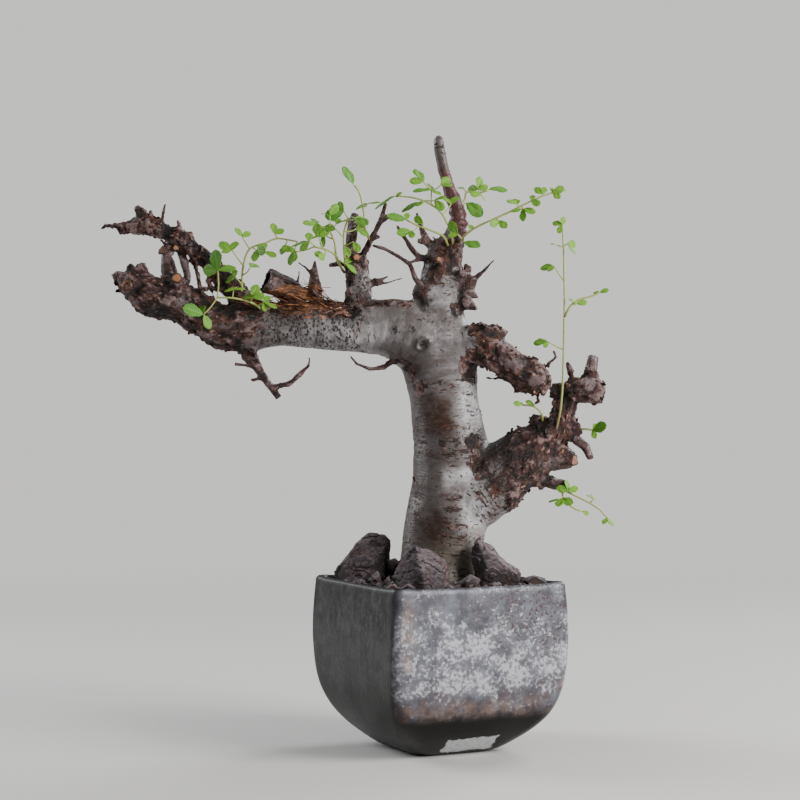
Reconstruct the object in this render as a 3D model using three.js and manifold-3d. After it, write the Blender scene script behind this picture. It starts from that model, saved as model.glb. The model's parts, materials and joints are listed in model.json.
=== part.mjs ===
// A Commiphora grown in bonsai style, in a square stoneware bowl.
// Millimetres, +Z up. The origin is the centre of the bowl's foot, on the surface that it stands on.
// Seen from the front, along +Y, the long arm reaches to the left, which is -X.

import * as THREE from "three";
import { ConvexGeometry } from "three/addons/geometries/ConvexGeometry.js";
import { mergeVertices } from "three/addons/utils/BufferGeometryUtils.js";
import Module from "manifold-3d";

// Driving dimensions
const POT_HEIGHT = 109.5;
const POT_TURN = 26.67; // degrees that the bowl's sides are turned from the front view
const POT_WALL = 5.5;
const POT_FLOOR = 8;
const FOOT_THICKENING = 10; // how much thicker the wall would be at the foot
const THICKENED_BELOW = 30;
const POT_SEGMENTS = 32;
const DRAIN_RADIUS = 3.5;
const DRAIN_OFFSET = 14; // from the bowl's axis to each drain hole, along both sides
const SOIL_TOP = 105.5;
const SOIL_MOUND = 2; // how much higher the soil is at the trunk
const SOIL_RELIEF = 1.3;
const CLEARANCE = 0.3; // between neighbouring pieces
const BLADE_THICKNESS = 0.7;
const LEAFLET_WIDTH = 0.72; // of its length
const LEAFLET_DROOP = 0.12; // how far the tip bends down, of its length
const LEAFLET_CUP = 0.06; // how far the edges bend down, of its length
const LEAF_JOINT = 0.8; // from a leaf's joint to the notches between its leaflets
const STEM_RADIUS = 0.86; // where it leaves the wood
const STEM_TAPER = 0.26; // how much thinner it is at its end
const PETIOLE_RADIUS = 0.55;
const LONG_PETIOLE = 6; // a longer one is bowed

// The bowl's outer profile: height, half width across the flats, corner radius
const POT_PROFILE = [
  [0, 27, 12],
  [2, 32, 12],
  [8, 40, 12],
  [16, 48.5, 11.5],
  [27, 56, 10],
  [42, 61, 9],
  [64, 63, 7],
  [88, 62.7, 6],
  [108, 61.4, 6],
];
// Its flat rim, from the outer edge to the inner one
const POT_RIM = [
  [POT_HEIGHT, 60.4, 6],
  [POT_HEIGHT, 57.2, 5],
];

const COLOURS = {
  pot: 0x5c5a5c,
  soil: 0x2b2421,
  stone: 0x4a4145,
  bark: 0x7d7069,
  leaf: 0x7fae4a,
};

const wasm = await Module();
wasm.setup();

// A number from 0 to 1 that depends only on its seed
function draw(seed) {
  const wave = Math.sin(seed * 127.1 + 11.7) * 43758.5453;
  return wave - Math.floor(wave);
}

// A closed three.js geometry as a solid
function solidOf(geometry) {
  const bare = geometry.index ? geometry.toNonIndexed() : geometry.clone();
  bare.deleteAttribute("normal");
  bare.deleteAttribute("uv");
  const merged = mergeVertices(bare, 1e-4);
  const corners = merged.index.array;
  const kept = [];
  for (let i = 0; i < corners.length; i += 3) {
    const [a, b, c] = [corners[i], corners[i + 1], corners[i + 2]];
    if (a !== b && b !== c && c !== a) kept.push(a, b, c);
  }
  const vertProperties = merged.attributes.position.array;
  const triVerts = new Uint32Array(kept);
  return new wasm.Manifold(new wasm.Mesh({ numProp: 3, vertProperties, triVerts }));
}

// A solid as a named mesh of one material
function meshOf(name, solid, colour, roughness, metalness = 0) {
  const made = solid.getMesh();
  const geometry = new THREE.BufferGeometry();
  geometry.setAttribute("position", new THREE.BufferAttribute(made.vertProperties, 3));
  geometry.setIndex(new THREE.BufferAttribute(made.triVerts, 1));
  geometry.computeVertexNormals();
  const material = new THREE.MeshStandardMaterial({ color: colour, roughness, metalness });
  const mesh = new THREE.Mesh(geometry, material);
  mesh.name = name;
  return mesh;
}

function joined(solids) {
  return solids.reduce((whole, piece) => whole.add(piece));
}

// The body that holds most of a solid, without the scraps that a cut leaves
function largest(solid) {
  const bodies = solid.decompose();
  return bodies.reduce((best, body) => (body.volume() > best.volume() ? body : best));
}

// The uneven surface of grown wood: a factor on the radius, from the angle and the place along a limb
function wobble(angle, along, seed, rough) {
  const ridge = Math.sin(2 * angle + 5 * draw(seed) + 0.9 * along);
  const lump = Math.sin(3 * angle - 6 * draw(seed + 1) + 2.1 * along);
  const knots = Math.sin(5 * angle + 1.7 * along + 6 * draw(seed + 2));
  const gaps = Math.sin(1.3 * along + 3 * draw(seed + 3));
  return 1 + rough * (0.5 * ridge + 0.35 * lump + 0.45 * knots * gaps);
}

// A limb: a closed tube along a route of [x, y, z, radius] points
function limb(route, { sides = 6, perSpan = 1, rough = 0.08, seed = 1, grow = 0 } = {}) {
  const curve = new THREE.CatmullRomCurve3(route.map(([x, y, z]) => new THREE.Vector3(x, y, z)));
  const spans = route.length - 1;
  const steps = spans * perSpan;
  const rings = [];
  let across = null;
  for (let i = 0; i <= steps; i++) {
    const t = i / steps;
    const tangent = curve.getTangent(t);
    if (!across) across = new THREE.Vector3(0.31, 0.2, 0.93).cross(tangent);
    across.addScaledVector(tangent, -across.dot(tangent)).normalize();
    const span = Math.min(Math.floor(t * spans), spans - 1);
    const radius = THREE.MathUtils.lerp(route[span][3], route[span + 1][3], t * spans - span);
    const centre = curve.getPoint(t);
    if (i === 0) centre.addScaledVector(tangent, -grow);
    if (i === steps) centre.addScaledVector(tangent, grow);
    rings.push({ centre, radius, across: across.clone(), up: across.clone().cross(tangent) });
  }
  const geometry = new THREE.CylinderGeometry(1, 1, 1, sides, steps);
  const position = geometry.attributes.position;
  const point = new THREE.Vector3();
  for (let i = 0; i < position.count; i++) {
    const step = Math.round((position.getY(i) + 0.5) * steps);
    const { centre, radius, across: side, up } = rings[step];
    const reach = Math.hypot(position.getX(i), position.getZ(i));
    const angle = Math.atan2(position.getX(i), position.getZ(i));
    const size = reach * (radius * wobble(angle, (0.75 * step) / perSpan, seed, rough) + grow);
    point.copy(centre);
    point.addScaledVector(side, size * Math.sin(angle));
    point.addScaledVector(up, size * Math.cos(angle));
    position.setXYZ(i, point.x, point.y, point.z);
  }
  return solidOf(geometry);
}

// The bowl

// How far a rounded square reaches from its centre in a direction
function squareReach(angle, half, corner) {
  const x = Math.abs(Math.cos(angle));
  const y = Math.abs(Math.sin(angle));
  const flat = half / Math.max(x, y);
  if (flat * Math.min(x, y) <= half - corner) return flat;
  const middle = (half - corner) * (x + y);
  return middle + Math.sqrt(middle * middle - 2 * (half - corner) ** 2 + corner * corner);
}

// A turned solid with square sections. Each profile row is [height, half width, corner radius],
// outside upwards. A profile that is written downwards is turned inside out afterwards.
function squareTurned(profile, { relief = () => 0, downwards = false } = {}) {
  const points = profile.map(([height, half]) => new THREE.Vector2(half, height));
  const geometry = new THREE.LatheGeometry(points, POT_SEGMENTS);
  const position = geometry.attributes.position;
  const turn = THREE.MathUtils.degToRad(POT_TURN);
  for (let i = 0; i < position.count; i++) {
    const [height, half, corner] = profile[i % profile.length];
    const angle = Math.atan2(position.getZ(i), position.getX(i));
    const reach = half > 0 ? squareReach(angle, half, Math.min(corner, half)) : 0;
    const x = reach * Math.cos(turn - angle);
    const y = reach * Math.sin(turn - angle);
    position.setXYZ(i, x, y, height + relief(x, y, i % profile.length));
  }
  if (downwards) geometry.index.array.reverse();
  return solidOf(geometry);
}

// A profile's half width and corner radius at a height between its rows, which go upwards
function sectionAt(profile, height) {
  const upper = Math.max(profile.findIndex(([z]) => z >= height), 1);
  const [z1, half1, corner1] = profile[upper];
  const [z0, half0, corner0] = profile[upper - 1];
  const share = (height - z0) / (z1 - z0);
  return [THREE.MathUtils.lerp(half0, half1, share), THREE.MathUtils.lerp(corner0, corner1, share)];
}

// The bowl's inner profile, from the floor to the rim: the wall thickens towards the foot
const INNER_PROFILE = [POT_FLOOR, POT_FLOOR + 6, 34, 70, POT_HEIGHT - 2.5].map((height) => {
  const [half, corner] = sectionAt(POT_PROFILE, height);
  const low = Math.max(0, 1 - height / THICKENED_BELOW);
  return [height, half - POT_WALL - FOOT_THICKENING * low ** 2, Math.max(corner - 2, 3)];
});

function potSolid() {
  const inside = [...INNER_PROFILE].reverse();
  const profile = [[0, 0, 0], ...POT_PROFILE, ...POT_RIM, ...inside, [POT_FLOOR, 0, 0]];
  let solid = squareTurned(profile);
  const turn = THREE.MathUtils.degToRad(POT_TURN);
  for (const along of [-1, 1]) {
    for (const across of [-1, 1]) {
      const drain = new THREE.CylinderGeometry(DRAIN_RADIUS, DRAIN_RADIUS, 3 * POT_FLOOR, 12);
      drain.rotateX(Math.PI / 2);
      drain.translate(along * DRAIN_OFFSET, across * DRAIN_OFFSET, POT_FLOOR / 2);
      drain.rotateZ(turn);
      solid = solid.subtract(solidOf(drain));
    }
  }
  return solid;
}

// The trunk, its branches, stubs and roots, as routes of [x, y, z, radius]
const TRUNK = [
  [2, 6, 62, 8],
  [2, 6, 78, 16],
  [1, 5, 96, 25],
  [1, 4, 110, 27.5],
  [1, 4, 120, 26],
  [3, 4, 134, 26.5],
  [5, 3, 148, 27],
  [7, 3, 161, 26.5],
  [8, 2, 174, 26],
  [8.5, 2, 187, 25.5],
  [8, 1, 200, 24.5],
  [5, 1, 213, 23],
  [3.5, 0, 226, 22],
  [2, 0, 240, 23.5],
  [0, 0, 254, 25],
  [1, 1, 268, 21],
  [1, 2, 280, 16.5],
  [1, 2, 292, 14.5],
  [2, 2, 308, 13.5],
  [5, 2, 322, 11.5],
  [9.5, 2, 331, 7.5],
];
const ARM = [
  [10, 0, 244, 17],
  [-4, -1, 258, 22],
  [-17, -2, 268, 22],
  [-32, -2, 272.5, 19.5],
  [-48, -3, 272.5, 17.5],
  [-64, -4, 273, 16.2],
  [-83, -5, 274.5, 16.5],
  [-103, -6, 274.5, 14.5],
  [-122, -7, 272, 15],
  [-139, -8, 272.5, 14.5],
  [-152, -9, 279, 13],
  [-165, -10, 287.5, 12.5],
  [-178, -11, 291, 13.5],
  [-188, -11, 293.5, 13],
  [-197, -11, 299, 11],
  [-204, -11, 303, 6.5],
];
const TOP_STUB = [
  [8, 2, 326, 8],
  [12.5, 2, 335, 6.4],
  [13.3, 2, 343, 6.2],
  [11.4, 2, 352.5, 5.5],
  [7.5, 2, 362, 4.9],
  [3.6, 2, 375, 4.2],
  [1, 2, 388, 4.3],
  [0.3, 2, 395, 4],
  [0.2, 2, 398.5, 1.8],
];
const LOWER_RIGHT = [
  [6, 2, 152, 20],
  [22, 0, 165, 23],
  [37, -2, 176, 22.5],
  [47, -3, 183, 20],
  [58, -4, 191, 18.5],
  [68, -5, 199, 13],
  [78, -6, 209, 9],
  [82, -6, 221, 7.5],
  [84, -7, 230, 7],
];
const RIGHT_HEAD = [
  [73, -7, 232, 4.5],
  [84, -7, 231, 7.5],
  [94, -8, 233, 9.5],
  [102, -8, 230, 8],
  [106, -8, 227, 4.5],
];
const UPPER_RIGHT = [
  [2, -4, 254, 15],
  [14, -9, 260, 14],
  [26, -12, 261, 12.5],
  [37, -15, 256, 11.5],
  [46, -17, 248, 10.5],
  [56, -18, 242, 11],
  [63, -19, 237.5, 9.5],
  [67.5, -20, 235, 7.5],
];
const UPPER_LEFT = [
  [-118, -6, 280, 8],
  [-134, -4, 298, 7],
  [-145, -1, 310, 6.5],
  [-155, 2, 321, 6],
  [-165, 4, 329, 6],
  [-176, 6, 335, 5.2],
  [-186, 7, 339, 5.8],
  [-194, 8, 341, 6.2],
  [-204, 8, 339, 4],
  [-212, 7, 339, 1.8],
  [-219, 7, 339.5, 0.9],
];
const LEFT_STUB = [
  [-50, -4, 274, 13],
  [-52, -5, 292, 9],
  [-53, -6, 309, 7.6],
  [-52.5, -6, 320, 5.8],
];

// Thick dead wood: stubs, knobs and the log that lies on the arm
const STUBS = [
  [[-80, -2, 284, 7], [-98, -5, 297, 9], [-112, -10, 303, 9.5]], // hollow log on the arm
  [[-56, -4, 308, 5], [-57, -3, 328, 4.2], [-55, -2, 341, 4], [-54, -2, 347, 2.6]], // charred stub
  [[-79, -4, 282, 6], [-80, -5, 298, 5], [-80.5, -5, 308, 3], [-80, -5, 316.5, 0.9]], // spiked stub
  [[-129, -8, 264, 8], [-124, -9, 256, 5.5], [-117.5, -10, 248, 3.9], [-113.5, -10, 241, 3.2],
    [-108, -11, 233.5, 2.6], [-103, -11, 227, 2.4]], // twig that hangs under the arm
  [[-200, -11, 298, 6], [-208, -12, 309, 3.2]], // knobs round the arm's left end
  [[-196, -10, 300, 6], [-200.5, -9, 313, 3.2]],
  [[-188, -9, 300, 5], [-192.5, -6, 314, 2.8]],
  [[-197, -14, 298, 5.5], [-200, -23, 299, 4.4]],
  [[-204, -12, 300, 4], [-211, -12, 302.5, 2.2]],
  [[-165, -12, 299, 5], [-167.5, -23, 303.5, 4]], // sawn stub on top of the arm
  [[-177.5, 0, 322, 3], [-176, -2, 311, 4.2], [-174, -6, 301, 5.5], [-172, -9, 290, 6]], // column of the web
  [[-172, 2, 322, 3], [-179.5, 0, 323.3, 3.2]],
  [[-169, 3, 327, 2.6], [-165.5, 0, 316, 3], [-163, -3, 307, 3], [-163, -7, 296, 3]],
  [[-190, 8, 340, 4], [-196, 7, 350, 3.5], [-197.5, 7, 352.5, 2]], // round knob at the upper branch
  [[54, -17, 242, 8], [60, -19, 249.5, 5.5]], // bump over the sawn right stub
  [[12, -9, 262, 9], [30, -13, 269, 8], [42, -15, 266, 4]], // flaking hump on the right stub
  [[50, -17, 240, 3.4], [42, -16, 238.5, 2.2], [36, -16, 239.8, 1.7], [30, -16, 240, 1]], // its spike
  [[50, -17, 240, 4], [49.5, -18, 230, 2.2]],
  [[96, -8, 236, 6], [99, -8, 248, 4.4], [100, -8, 254.5, 3.6]], // stubs on the right head
  [[87, -7, 236, 3.2], [84.5, -7, 246, 2.5], [83, -7, 250.5, 1.4]],
  [[60, -5, 198, 8], [62.5, -5, 209, 5], [64, -5, 216.5, 3.2]],
  [[66, -8, 203, 5], [69, -10, 214, 3]],
  [[76, -6, 203, 5], [87, -9, 201, 3.8], [94.5, -11, 196, 3.3], [98, -12, 187.5, 2.5]], // glossy horn
  [[62, -5, 189, 12], [78, -9, 189, 9], [87, -11, 187, 5.5]], // sawn lower knob
  [[80, -6, 204, 7], [92, -7, 208, 4.5]],
  [[56, -3, 179, 9], [68, -6, 174.5, 5], [76, -7, 171.5, 4], [83, -8, 171, 3.2]], // lowest stub
  [[10, -3, 292, 7], [18, -7, 288, 5], [25, -9, 284.5, 1.4]], // dark pods right of the neck
  [[11, -2, 296, 8], [19, -5, 299, 6.5], [23, -6, 305, 2.8]],
  [[20, -6, 296, 4], [25.5, -7, 291.5, 1]],
  [[16, -3, 300, 4], [19.5, -4, 313, 2.5]],
  [[12, -6, 304, 4], [16, -11, 308, 3.4]],
  [[-6, -4, 286, 11], [-12, -7, 297, 6], [-13, -8, 301, 3]], // black knob left of the neck
  [[0, -8, 313, 4], [0, -14.5, 316, 2.5]], // small sawn stubs that face the front
  [[-53, -9, 316, 4], [-53, -14.8, 317.4, 2.9]],
];

// Thin dead twigs, strands and buds
const TWIGS = [
  [[-181, 8, 336, 2.2], [-180, 8, 347, 1.3], [-178.5, 8, 354, 0.8]],
  [[-167, 5, 331, 2], [-170, 5, 343, 0.8]],
  [[-165, 3, 332, 2.2], [-160, 1, 334.5, 1.3]],
  [[-204, 7, 338, 2.2], [-208.5, 5, 334, 2]],
  [[-187, 8, 342, 2], [-188, 7, 349.5, 1.2]],
  [[-163, 1, 329, 1.8], [-160, -2, 322.5, 1.3], [-153, -4, 318, 1.3], [-143, -4, 309, 1.8]], // web strands
  [[-160, 0, 322, 2], [-157, -3, 310, 1.7], [-155, -5, 301, 1.7], [-153, -7, 290, 2]],
  [[-177, 1, 324, 1.6], [-172, -4, 315, 1.3], [-168, -8, 304, 1.6]],
  [[-170, -9, 292, 2], [-158, -11, 295, 1.5], [-148, -10, 298, 1.5], [-135, -7, 297, 2]],
  [[-150, 0, 313, 1.8], [-149, -4, 303, 1.5], [-146, -8, 294, 1.5], [-142, -9, 284, 2]],
  [[-174, 3, 324, 1.8], [-181, 2, 330.5, 0.9]],
  [[-108, -11, 233.5, 2.4], [-96.5, -12, 236.5, 2.2], [-90, -12, 242, 2], [-84, -13, 247.5, 1.5],
    [-83, -13, 252.5, 1], [-85.5, -13, 253.5, 0.7]], // fork of the hanging twig
  [[-117, -10, 246.5, 2], [-124.5, -12, 248, 1.2], [-131.5, -14, 249, 1.6]],
  [[-121, -18, 270, 2], [-118.5, -16, 258, 1.2], [-116.5, -11, 248, 2]],
  [[-113, -10, 240, 2], [-121, -12, 238.5, 1.4]],
  [[-51, -5, 315, 4.5], [-47, -5, 324, 3], [-43, -6, 331, 2.4], [-38, -7, 341, 2], [-34, -8, 353, 1.4]],
  [[-38, -7, 340, 1.6], [-32, -8, 345, 2]],
  [[-45, -6, 328, 1.8], [-38, -8, 331.5, 1.3]],
  [[-54, -6, 312, 3.4], [-66, -8, 313.5, 2.2], [-71, -9, 312.5, 1.6]],
  [[-80, -5, 304, 1.6], [-86, -6, 311.5, 1.1], [-91.5, -7, 315, 1]],
  [[-92, -5, 296, 1.6], [-90, -7, 309.5, 0.8]],
  [[-49, -5, 301, 2.4], [-38, -8, 303.5, 1.4], [-32, -9, 305.5, 0.9]],
  [[-46, -7, 299, 1.8], [-33, -9, 301.5, 1.1], [-23, -10, 304.5, 0.8]],
  [[2, -8, 292, 5], [-9, -11, 298, 3], [-15, -11, 303.5, 2.2], [-18.5, -11, 313.5, 1.9],
    [-26.5, -11, 318.5, 1.8], [-35, -11, 323, 1.6], [-43, -12, 325.5, 1.3]], // grey twig over the gap
  [[0, -2, 316, 5], [-12, -5, 318, 2.8], [-17, -5, 323, 2.3], [-22, -4, 331, 1.9], [-27, -3, 338.8, 1.3]],
  [[-12, -6, 317, 1.8], [-19, -8, 314.5, 1.1]],
  [[1, 0, 318, 5], [-8, -1, 330, 2.8], [-11, -1, 337.5, 2], [-14.5, -2, 347.5, 1.3]],
  [[-8, -2, 328, 2], [-13.5, -4, 329, 2]],
  [[0, -2, 324, 3], [-3, -5, 332, 1.7]],
  [[21, -6, 302, 2.8], [29, -7, 309, 1.5], [36, -8, 316.5, 0.8]],
  [[63, -18, 241, 2.4], [70, -18, 249, 1.2], [75, -18, 253, 1.1], [73.5, -18, 257.5, 1.1]],
  [[54, -18, 236, 3], [54.5, -19, 229, 1.3]],
  [[62, -18, 232, 2.4], [64, -18, 225, 1.5], [61, -18, 223, 1.6]],
  [[67, -6, 174, 3], [66.5, -7, 167.5, 1.6]],
  [[-24, -10, 256, 4], [-35, -12, 247, 2], [-44, -14, 245.5, 1.7], [-53, -14, 249, 1.3], [-57, -13, 254, 1]],
];

// Stubs and twigs that only the other sides show
const BACK_GROWTH = [
  [[-88, 4, 278, 6], [-92, 16, 288, 4.4], [-93, 22, 293, 3.4]],
  [[8, 16, 214, 10], [12, 30, 220, 6], [13, 35, 222, 4.6]],
  [[2, 8, 303, 5], [7, 22, 314, 2], [10, 27, 322, 1.2]],
  [[56, 6, 190, 10], [68, 20, 201, 6.5], [72, 27, 212, 3.8]],
  [[-150, -2, 284, 6], [-155, 8, 292, 4]],
  [[-36, 8, 274, 8], [-38, 22, 283, 4.6], [-37, 26, 286, 3.6]],
  [[66, 18, 199, 4], [80, 26, 198, 2.6], [86, 29, 194, 1.6]],
];

const ROOTS = [
  [[8, 2, 108, 15], [24, -6, 98, 9.5], [36, -12, 84, 4]],
  [[-4, 8, 108, 15], [-20, 20, 97, 9], [-31, 30, 83, 4]],
  [[-6, -2, 108, 14], [-22, -12, 97, 8], [-30, -22, 82, 4]],
  [[6, 12, 108, 14], [16, 28, 97, 8.5], [20, 40, 83, 4]],
];

// Every limb of the trunk as a solid, each grown outwards by a clearance
function trunkLimbs(grow) {
  const main = [
    limb(TRUNK, { sides: 16, rough: 0.05, seed: 3, grow }),
    limb(ARM, { sides: 13, rough: 0.07, seed: 9, grow }),
    limb(TOP_STUB, { sides: 9, rough: 0.06, seed: 14, grow }),
    limb(LOWER_RIGHT, { sides: 12, rough: 0.09, seed: 20, grow }),
    limb(RIGHT_HEAD, { sides: 9, rough: 0.14, seed: 26, grow }),
    limb(UPPER_RIGHT, { sides: 11, rough: 0.12, seed: 31, grow }),
    limb(UPPER_LEFT, { sides: 8, rough: 0.14, seed: 37, grow }),
    limb(LEFT_STUB, { sides: 9, rough: 0.12, seed: 43, grow }),
  ];
  const stubs = STUBS.map((route, i) => limb(route, { sides: 6, rough: 0.16, seed: 50 + i, grow }));
  const back = BACK_GROWTH.map((route, i) => limb(route, { sides: 6, rough: 0.14, seed: 170 + i, grow }));
  const twigs = TWIGS.map((route, i) => limb(route, { sides: 4, rough: 0.12, seed: 100 + i, grow }));
  const roots = ROOTS.map((route, i) => limb(route, { sides: 8, rough: 0.08, seed: 190 + i, grow }));
  return [...main, ...stubs, ...back, ...twigs, ...roots];
}

// The hollow in the log, and the rotted heart of the sawn right stub
const HOLLOWS = [
  [[-119, -14, 305, 7], [-110, -9.5, 302.3, 6.4], [-99, -5.5, 297.5, 4.5]],
  [[70.5, -20.6, 233.2, 3], [66, -19.5, 235.7, 2.4]],
];

function trunkSolid() {
  const wood = joined(trunkLimbs(0));
  const shape = { sides: 10, perSpan: 2, rough: 0.12 };
  const hollows = HOLLOWS.map((route, i) => limb(route, { ...shape, seed: 210 + i }));
  return largest(wood.subtract(joined(hollows)));
}

// The lava stones: three large ones by their corners, the rest as seeded lumps
const STONES = {
  stone_left: [
    [-68, 19, 106], [-69, 19, 113], [-64, 10, 119], [-58, 20, 127], [-53, 8, 132], [-46, 14, 138.5],
    [-38, 22, 137], [-34, 12, 137.5], [-31, 9, 134], [-31, 17, 118], [-31, 11, 104], [-50, -4, 108],
    [-58, -2, 104], [-52, 30, 104], [-40, 30, 112], [-37, 1, 110],
  ],
  stone_front: [
    [-29, -44, 114], [-26, -40, 125], [-21, -36, 133], [-15, -46, 134.5], [-5, -38, 132.5], [4, -40, 125],
    [7.5, -42, 117], [6, -50, 104], [-8, -60, 104], [-24, -56, 104], [-26, -36, 104], [0, -32, 104],
    [-12, -57, 118], [-12, -31, 118],
  ],
  stone_slab: [
    [20, -26, 132], [25, -21, 137.5], [24, -30, 136], [33, -20, 133], [41, -18, 124], [42, -30, 121],
    [51, -18, 117], [50, -29, 115], [53, -24, 106], [26, -34, 104], [23, -26, 104], [35, -13, 104],
    [50, -12, 104], [30, -35, 120],
  ],
};

// [name, centre, width, depth, height, turn in degrees, seed]
const SMALL_STONES = [
  ["stone_right_flat", [61, -22, 109], 19, 12, 12, 24, 3],
  ["stone_front_small", [19, -43, 110], 17, 11, 14, 15, 5],
  ["stone_gap_small", [-40, -13, 109], 10, 9, 14, 40, 8],
  ["stone_corner_flat", [-21, -64.5, 107.5], 14, 7, 10, 10, 11],
  ["stone_left_flat", [-50, -14, 107.5], 9, 11, 8, 27, 13],
  ["stone_back_large", [-18, 42, 111], 25, 15, 20, 30, 17],
  ["stone_back_mid", [9, 50, 110], 18, 15, 15, -20, 21],
  ["stone_back_right", [38, 22, 111], 21, 18, 18, 10, 25],
];

function smallStoneCorners([, [x, y, z], width, depth, height, turn, seed]) {
  const corners = [];
  for (let i = 0; i < 12; i++) {
    const corner = new THREE.Vector3();
    corner.setFromSphericalCoords(1, Math.acos(1 - (2 * i + 1) / 12), i * 2.4 + draw(seed + i));
    corner.multiplyScalar(0.8 + 0.35 * draw(seed * 3 + i));
    corner.set((corner.x * width) / 2, (corner.z * depth) / 2, (corner.y * height) / 2);
    corner.applyAxisAngle(new THREE.Vector3(0, 0, 1), THREE.MathUtils.degToRad(turn));
    corners.push([x + corner.x, y + corner.y, z + corner.z]);
  }
  return corners;
}

// A stone as the hull of its corners, each moved outwards from the middle
function stoneSolid(corners, grow) {
  const points = corners.map(([x, y, z]) => new THREE.Vector3(x, y, z));
  const middle = new THREE.Vector3();
  points.forEach((point) => middle.addScaledVector(point, 1 / points.length));
  points.forEach((point) => point.addScaledVector(point.clone().sub(middle).normalize(), grow));
  return solidOf(new ConvexGeometry(points));
}

// The soil fills the bowl, with grit as relief on its top.
// Its profile runs downwards, as the bowl's inside does, so that the two walls are split alike
function gritRelief(x, y) {
  const coarse = Math.sin(0.9 * x + 1.3 * Math.sin(0.7 * y)) * Math.cos(0.8 * y + Math.sin(0.6 * x));
  const mound = Math.max(0, 1 - Math.hypot(x, y) / 60);
  return SOIL_RELIEF * coarse + SOIL_MOUND * mound;
}

function soilSolid() {
  const wallTop = SOIL_TOP - 1.5;
  const rows = INNER_PROFILE.filter(([height]) => height < wallTop);
  rows.push([wallTop, ...sectionAt(INNER_PROFILE, wallTop)]);
  const side = rows.map(([height, half, corner]) => [height, half - CLEARANCE, corner]);
  side[0][0] += CLEARANCE;
  const edge = side.at(-1)[1];
  const top = [0.3, 0.62, 0.8, 0.97].map((share) => [SOIL_TOP, edge * share, 5]);
  const profile = [[SOIL_TOP, 0, 0], ...top, ...side.reverse(), [POT_FLOOR + CLEARANCE, 0, 0]];
  const relief = (x, y, row) => (row <= top.length ? gritRelief(x, y) : 0);
  return squareTurned(profile, { relief, downwards: true });
}

// A leaf's leaflets are obovate, and all but the smallest are toothed.
// One edge of a leaflet, as shares of its length along the midrib and of its half width
const LEAFLET_EDGE = [
  [0.68, 1],
  [0.79, 0.7],
];
const SHORTEST_TOOTHED = 7.5;

// A leaf in its own plane, leaflet by leaflet round the joint.
// Each has its middle and its rim, as points of [across, up, lift].
function leafletOutlines(leaflets, seed) {
  const rows = leaflets.map(([heading, length], i) => {
    return [THREE.MathUtils.degToRad(heading), length, draw(seed + i)];
  });
  rows.sort(([a], [b]) => a - b);
  const notchAfter = (i) => {
    const next = i + 1 < rows.length ? rows[i + 1][0] : rows[0][0] + 2 * Math.PI;
    const angle = (rows[i][0] + next) / 2;
    return [LEAF_JOINT * Math.cos(angle), LEAF_JOINT * Math.sin(angle), 0];
  };
  return rows.map(([turn, length, chance], i) => {
    const half = (length * LEAFLET_WIDTH) / 2;
    const at = ([u, v]) => [
      u * length * Math.cos(turn) - v * half * Math.sin(turn),
      u * length * Math.sin(turn) + v * half * Math.cos(turn),
      length * ((0.5 * chance - 0.25) * u - LEAFLET_DROOP * u * u - LEAFLET_CUP * v * v),
    ];
    const before = notchAfter((i + rows.length - 1) % rows.length);
    const edge = length > SHORTEST_TOOTHED ? LEAFLET_EDGE : LEAFLET_EDGE.slice(0, 1);
    const left = edge.map(([u, v]) => at([u, -v]));
    const right = [...edge].reverse().map(at);
    return { middle: at([0.5, 0]), rim: [before, ...left, at([1, 0]), ...right, notchAfter(i)] };
  });
}

// A leaf's blade: one thin solid, cut to its joint between the leaflets and split alike on both faces
function leafBlade(joint, normal, leaflets, seed) {
  const face = normal.clone().normalize();
  const across = new THREE.Vector3(1, 0, 0).addScaledVector(face, -face.x).normalize();
  const up = face.clone().cross(across);
  const top = joint.clone().addScaledVector(face, BLADE_THICKNESS / 2);
  const place = ([x, y, lift]) =>
    top.clone().addScaledVector(across, x).addScaledVector(up, y).addScaledVector(face, lift);
  const lower = (point) => point.clone().addScaledVector(face, -BLADE_THICKNESS);
  const triangles = [];
  const bothFaces = (a, b, c) => triangles.push(a, b, c, lower(a), lower(c), lower(b));
  leafletOutlines(leaflets, seed).forEach(({ middle, rim }) => {
    const points = rim.map(place);
    const centre = place(middle);
    points.slice(1).forEach((b, i) => {
      const a = points[i];
      bothFaces(centre, a, b);
      triangles.push(a, lower(b), b, a, lower(a), lower(b));
    });
    bothFaces(centre, points.at(-1), top);
    bothFaces(centre, top, points[0]);
  });
  return solidOf(new THREE.BufferGeometry().setFromPoints(triangles));
}

// A leaf: a petiole from the stem to the joint, and its blade.
// Each leaflet is [heading, length]: 0 degrees points right and 90 degrees up, seen from the front
function leafSolids(from, joint, leaflets, seed) {
  const bow = from.map((value, i) => (value + joint[i]) / 2 + (i === 2 ? -0.6 : 0.5) * (draw(seed) + 0.2));
  const long = Math.hypot(joint[0] - from[0], joint[1] - from[1], joint[2] - from[2]) > LONG_PETIOLE;
  const route = (long ? [from, bow, joint] : [from, joint]).map((point) => [...point, PETIOLE_RADIUS]);
  const normal = new THREE.Vector3(0.8 * (draw(seed * 7) - 0.5), -0.8, 0.35 + 0.5 * draw(seed * 9));
  return [
    limb(route, { sides: 3, rough: 0 }),
    leafBlade(new THREE.Vector3(...joint), normal, leaflets, seed * 5),
  ];
}

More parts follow.
